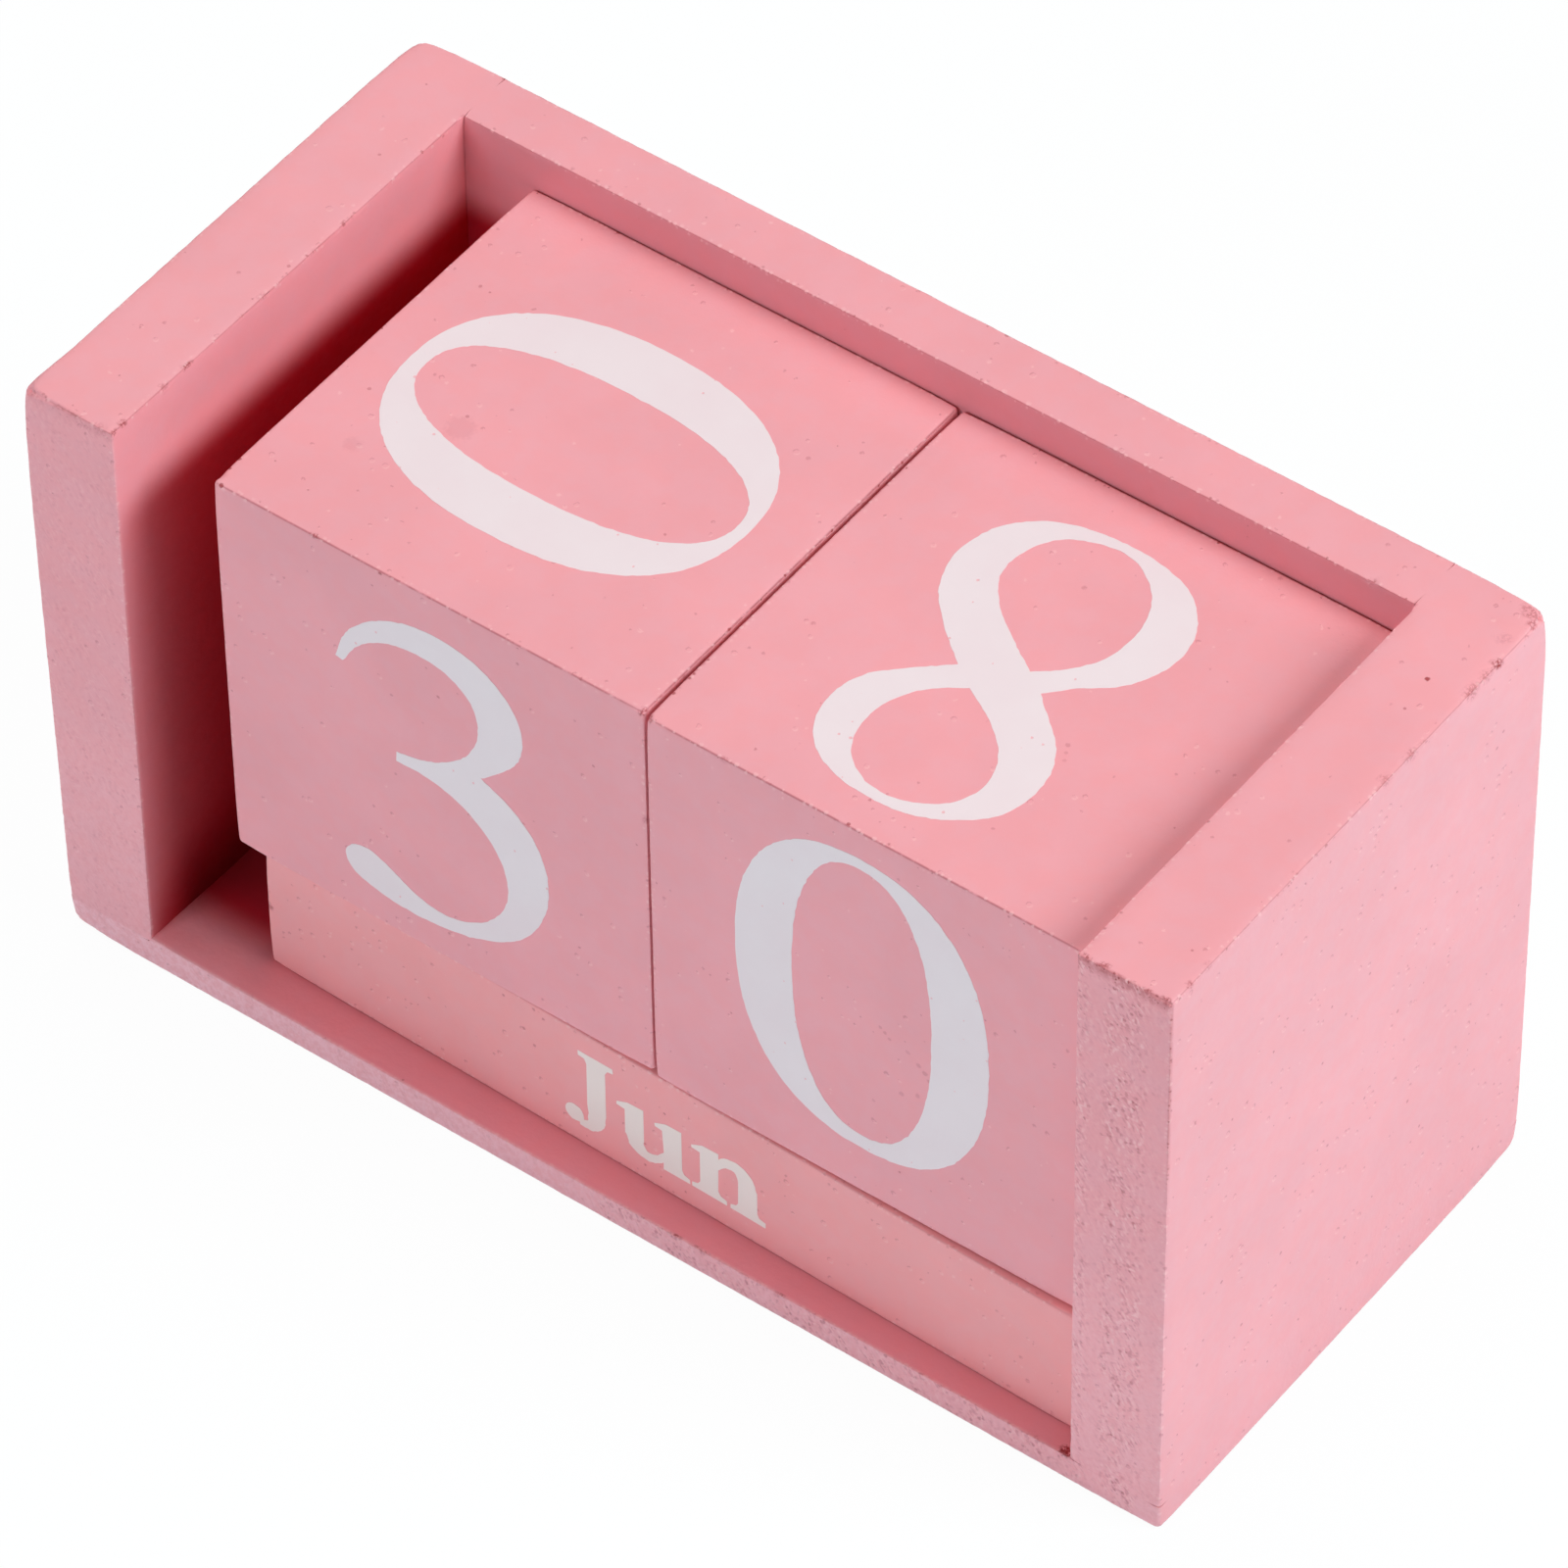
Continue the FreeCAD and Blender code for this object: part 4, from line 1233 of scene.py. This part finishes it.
ZERO = [([oval(0.0, 26.5, 0.0, 36.3, 2.3, 180)], [oval(5.98, 20.55, 1.62, 35.05, 2.3, 160)])]
ONE = [([corners((0, 0), (16.4, 0), (16.4, 1.1), (12.6, 1.5), (11.4, 2.6), (11.2, 4.2), (11.2, 36.5),
        (9.6, 36.5), (5.4, 34.4), (0.2, 33.0), (0.2, 31.8), (5.1, 31.9), (5.1, 4.2), (4.9, 2.6), (3.8, 1.5),
        (0, 1.1))], [])]
TWO = [([traced([(0.2, 28.2, 0), (1.5, 31.9), (5.3, 35.6), (11.0, 37.0), (17.2, 35.6), (20.8, 31.6),
        (21.0, 27.0), (18.9, 21.6), (14.2, 15.6), (9.2, 9.8), (5.6, 5.6, 0), (16.5, 5.5), (19.8, 6.4),
        (21.7, 9.8, 0), (22.8, 9.8, 0), (21.3, 0.0, 0), (0.0, 0.0, 0), (0.0, 1.3, 0), (6.4, 8.6),
        (12.0, 15.6), (15.3, 21.6), (16.0, 27.0), (15.0, 31.0), (12.6, 33.2), (9.2, 33.8), (5.4, 32.7),
        (2.7, 30.6), (1.1, 28.2, 0)], NUMBER_STRIDE)], [])]
THREE = [([traced([(0.15, 28.2, 0), (1.2, 31.25), (3.0, 33.7), (5.65, 35.75), (11.0, 37.25), (16.9, 35.8),
        (19.75, 32.75), (20.45, 29.75), (19.7, 26.75), (17.6, 24.2), (15.7, 22.4, 0), (18.55, 20.9),
        (21.4, 17.9), (22.5, 14.75), (22.6, 11.3), (21.4, 7.25), (19.2, 4.1), (15.6, 1.75), (11.5, 0.45),
        (7.5, 0.0), (3.4, 0.45), (0.7, 1.6), (0.0, 3.2), (0.8, 4.7), (2.7, 5.2), (4.88, 4.35), (7.6, 2.75),
        (10.6, 2.05), (13.6, 2.8), (16.6, 5.3), (18.1, 8.75), (18.0, 11.75), (16.6, 14.75), (13.7, 17.4),
        (10.2, 18.7), (6.4, 18.8, 0), (6.4, 19.95, 0), (9.9, 20.9), (12.9, 22.9), (14.8, 25.25),
        (15.6, 28.25), (15.1, 30.9), (13.0, 33.0), (9.2, 33.75), (5.3, 32.8), (2.6, 30.7), (1.0, 28.0, 0)],
        NUMBER_STRIDE)], [])]
FOUR = [([corners((0, 9.0), (13.6, 9.0), (13.6, 2.6), (13.3, 1.5), (10.0, 1.1), (10.0, 0), (23.2, 0),
        (23.2, 1.1), (19.9, 1.5), (19.6, 2.6), (19.6, 9.0), (24.2, 9.0), (24.2, 11.4), (19.6, 11.4),
        (19.6, 36.5), (17.4, 36.5), (0, 10.9))], [corners((2.4, 11.4), (13.6, 11.4), (13.6, 28.4))])]
FIVE = [([traced([(3.9, 36.4, 0), (17.6, 36.4, 0), (19.6, 37.2, 0), (18.3, 31.2, 0), (5.6, 31.2, 0),
        (4.9, 21.9, 0), (8.0, 23.1), (11.6, 23.4), (17.6, 21.6), (21.2, 17.0), (21.6, 11.3), (19.2, 4.8),
        (13.8, 0.9), (7.5, 0.0), (2.1, 0.7), (0.0, 2.7), (0.8, 4.6), (2.8, 5.1), (5.2, 4.0), (7.8, 2.2),
        (11.0, 2.1), (14.6, 4.6), (16.5, 9.6), (16.3, 15.4), (14.0, 19.6), (10.0, 21.0), (6.6, 20.1),
        (4.4, 18.0, 0), (3.4, 18.0, 0)], NUMBER_STRIDE)], [])]
SIX = [([traced([(19.6, 37.0, 0), (13.2, 34.6), (6.8, 29.4), (2.0, 21.8), (0.0, 13.4), (1.2, 6.4), (5.4, 1.5),
        (11.7, 0.0), (18.2, 1.6), (22.2, 6.2), (23.0, 11.6), (21.6, 17.2), (17.8, 21.2), (12.6, 22.4),
        (7.3, 20.8, 0), (9.4, 26.4), (13.4, 31.6), (19.8, 35.9, 0)], NUMBER_STRIDE)],
        [oval(6.1, 18.0, 1.5, 20.6, 2.15, 120)])]
SEVEN = [([traced([(0.9, 36.4, 0), (23.0, 36.4, 0), (23.0, 35.2, 0), (18.4, 27.6), (14.0, 18.6), (11.6, 9.0),
        (11.0, 0.0, 0), (5.0, 0.0, 0), (6.4, 9.4), (10.4, 18.8), (17.8, 30.8, 0), (5.6, 30.8), (2.8, 29.8),
        (1.2, 26.4, 0), (0.0, 26.4, 0)], NUMBER_STRIDE)], [])]
EIGHT = [([traced([(18.0, 1.5), (21.25, 4.5), (22.5, 9.0), (21.25, 13.5), (18.63, 16.5), (14.7, 19.8, 0),
        (17.69, 22.5), (20.38, 25.5), (21.19, 28.5), (20.75, 31.5), (18.63, 34.5), (15.38, 36.0),
        (11.5, 36.43), (7.69, 36.0), (4.63, 34.5), (1.57, 31.5), (0.81, 28.5), (1.07, 25.5), (2.63, 22.5),
        (4.9, 20.4), (7.1, 18.5, 0), (5.31, 16.5), (1.88, 13.5), (0.38, 10.5), (0.0, 7.5), (0.94, 4.5),
        (3.81, 1.5), (7.2, 0.3), (10.9, 0.0), (14.9, 0.4)], NUMBER_STRIDE)],
        [traced([(9.3, 16.9, 0), (7.07, 15.0), (5.07, 12.0), (4.57, 9.0), (5.0, 6.0), (6.81, 3.0),
        (9.3, 1.35), (11.9, 1.05), (14.2, 1.7), (16.38, 3.0), (17.9, 6.0), (18.0, 9.0), (16.0, 12.0),
        (12.19, 15.0)], NUMBER_STRIDE), traced([(12.3, 21.4, 0), (15.38, 24.0), (16.94, 27.0), (17.19, 30.0),
        (16.07, 33.0), (13.8, 34.8), (10.9, 35.4), (8.0, 34.6), (5.88, 33.0), (4.69, 30.0), (5.38, 27.0),
        (8.07, 24.0)], NUMBER_STRIDE)])]


def number(shape, middle, quarter_turns=0):
    """The flat shape of a number, its box centred on a place on the face, turned clockwise."""
    spots, triangles = united(shape)
    across, up = [spot.x for spot in spots], [spot.y for spot in spots]
    centre = Vector(((min(across) + max(across)) / 2, (min(up) + max(up)) / 2))
    turn = Matrix.Rotation(-quarter_turns * math.pi / 2, 2)
    return [turn @ (spot - centre) + Vector(middle) for spot in spots], triangles


FACE_MIDDLE = (23.1, 22.6)
SIDE_MIDDLE = (22.4, 22.6)
NUMBERS = {
    "left_block": {"front": (THREE, (23.9, 22.2)), "top": (ZERO, (22.5, 22.1), 1),
                   "right": (ONE, SIDE_MIDDLE), "left": (TWO, SIDE_MIDDLE),
                   "back": (FOUR, FACE_MIDDLE), "bottom": (FIVE, FACE_MIDDLE)},
    "right_block": {"front": (ZERO, (22.25, 23.9)), "top": (EIGHT, (20.9, 21.9), 2),
                    "right": (SIX, SIDE_MIDDLE), "left": (SEVEN, SIDE_MIDDLE),
                    "back": (ONE, FACE_MIDDLE), "bottom": (TWO, FACE_MIDDLE)},
}
BLOCK_KNOCKS = {
    "left_block": [
        ((3.3, -23.5, 63), 0.7, 0.1, 0.7), ((-31.7, -23.55, 63.05), 0.35, 0.05, 0.8),
        ((3.35, -23.55, 50), 0.5, 0.12, 0.35), ((3.35, -12.1, 63.05), 0.35, 0.1, 0.15),
        ((3.35, -6.6, 63.05), 0.35, 0.1, 0.15), ((3.35, -15.1, 63.05), 0.4, 0.1, 0.15),
        ((-42.7, -22.4, 63.05), 0.6, 0.05, 0.15),
    ],
    "right_block": [
        ((3.9, -23.8, 63), 0.6, 0.1, 0.6), ((49.9, -23.8, 62.9), 0.5, 0.06, 0.5),
        ((12, -23.85, 63.05), 0.4, 0.05, 0.4), ((28.5, -23.85, 63.05), 0.4, 0.05, 0.4),
    ],
}
block_spots = [
    ((-29.6, -6.1, BLOCK_TOP), 1.5, 0.10), ((-35.9, -13.1, BLOCK_TOP), 0.9, 0.08),
    ((28.0, -23.9, 40.3), 0.22, 0.22),
    ((28.5, -23.9, 39.9), 0.22, 0.22), ((29.0, -23.9, 39.4), 0.2, 0.2), ((30.9, -23.9, 39.0), 0.25, 0.15),
    ((32.0, -23.9, 38.1), 0.3, 0.22), ((32.7, -23.9, 37.5), 0.3, 0.25), ((33.1, -23.9, 36.8), 0.25, 0.22),
    ((30.2, -23.9, 33.3), 0.3, 0.2), ((31.9, -23.9, 34.2), 0.28, 0.2), ((27.3, -23.9, 30.5), 0.2, 0.15),
    ((34.1, -5.7, BLOCK_TOP), 0.25, 0.25), ((34.5, -6.5, BLOCK_TOP), 0.2, 0.2),
    ((34.9, -7.3, BLOCK_TOP), 0.2, 0.15),
]
block_paint = painted("block paint", spots=block_spots, lined_above=BLOCK_TOP, Paint=PAINT, Edge_Line=0.8,
                      Speck_Share=0.22)
for body, seed in (("left_block", 21.0), ("right_block", 22.0)):
    node = body.replace("block", "number_block")
    left, right = (BLOCK_EDGE, BLOCK_FINE) if body == "left_block" else (BLOCK_FINE, BLOCK_EDGE)
    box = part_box(node)
    box[1].y = max(box[1].y, tray_back - BLOCK_GAP)
    block_radii = {"Edge Radius": BLOCK_EDGE, "Foot Radius": BLOCK_EDGE, "Left Radius": left,
                   "Right Radius": right, "Rear Radius": BLOCK_FINE, "Vertex Radius": BLOCK_VERTEX}
    block = board(body + "_painted", solid_tree, box, block_paint, block_radii, BLOCK_KNOCKS[body],
                  Wobble=0.05 * MM, Nick_Depth=0.08 * MM, Nick_Share=-0.1, Seed=seed)
    marks = [(face, number(*drawn)) for face, drawn in NUMBERS[body].items()]
    numbers = printed(body + "_numbers", white_print, box, marks)
    for piece in (block, numbers):
        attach(piece, body)
    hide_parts(node)

low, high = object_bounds()
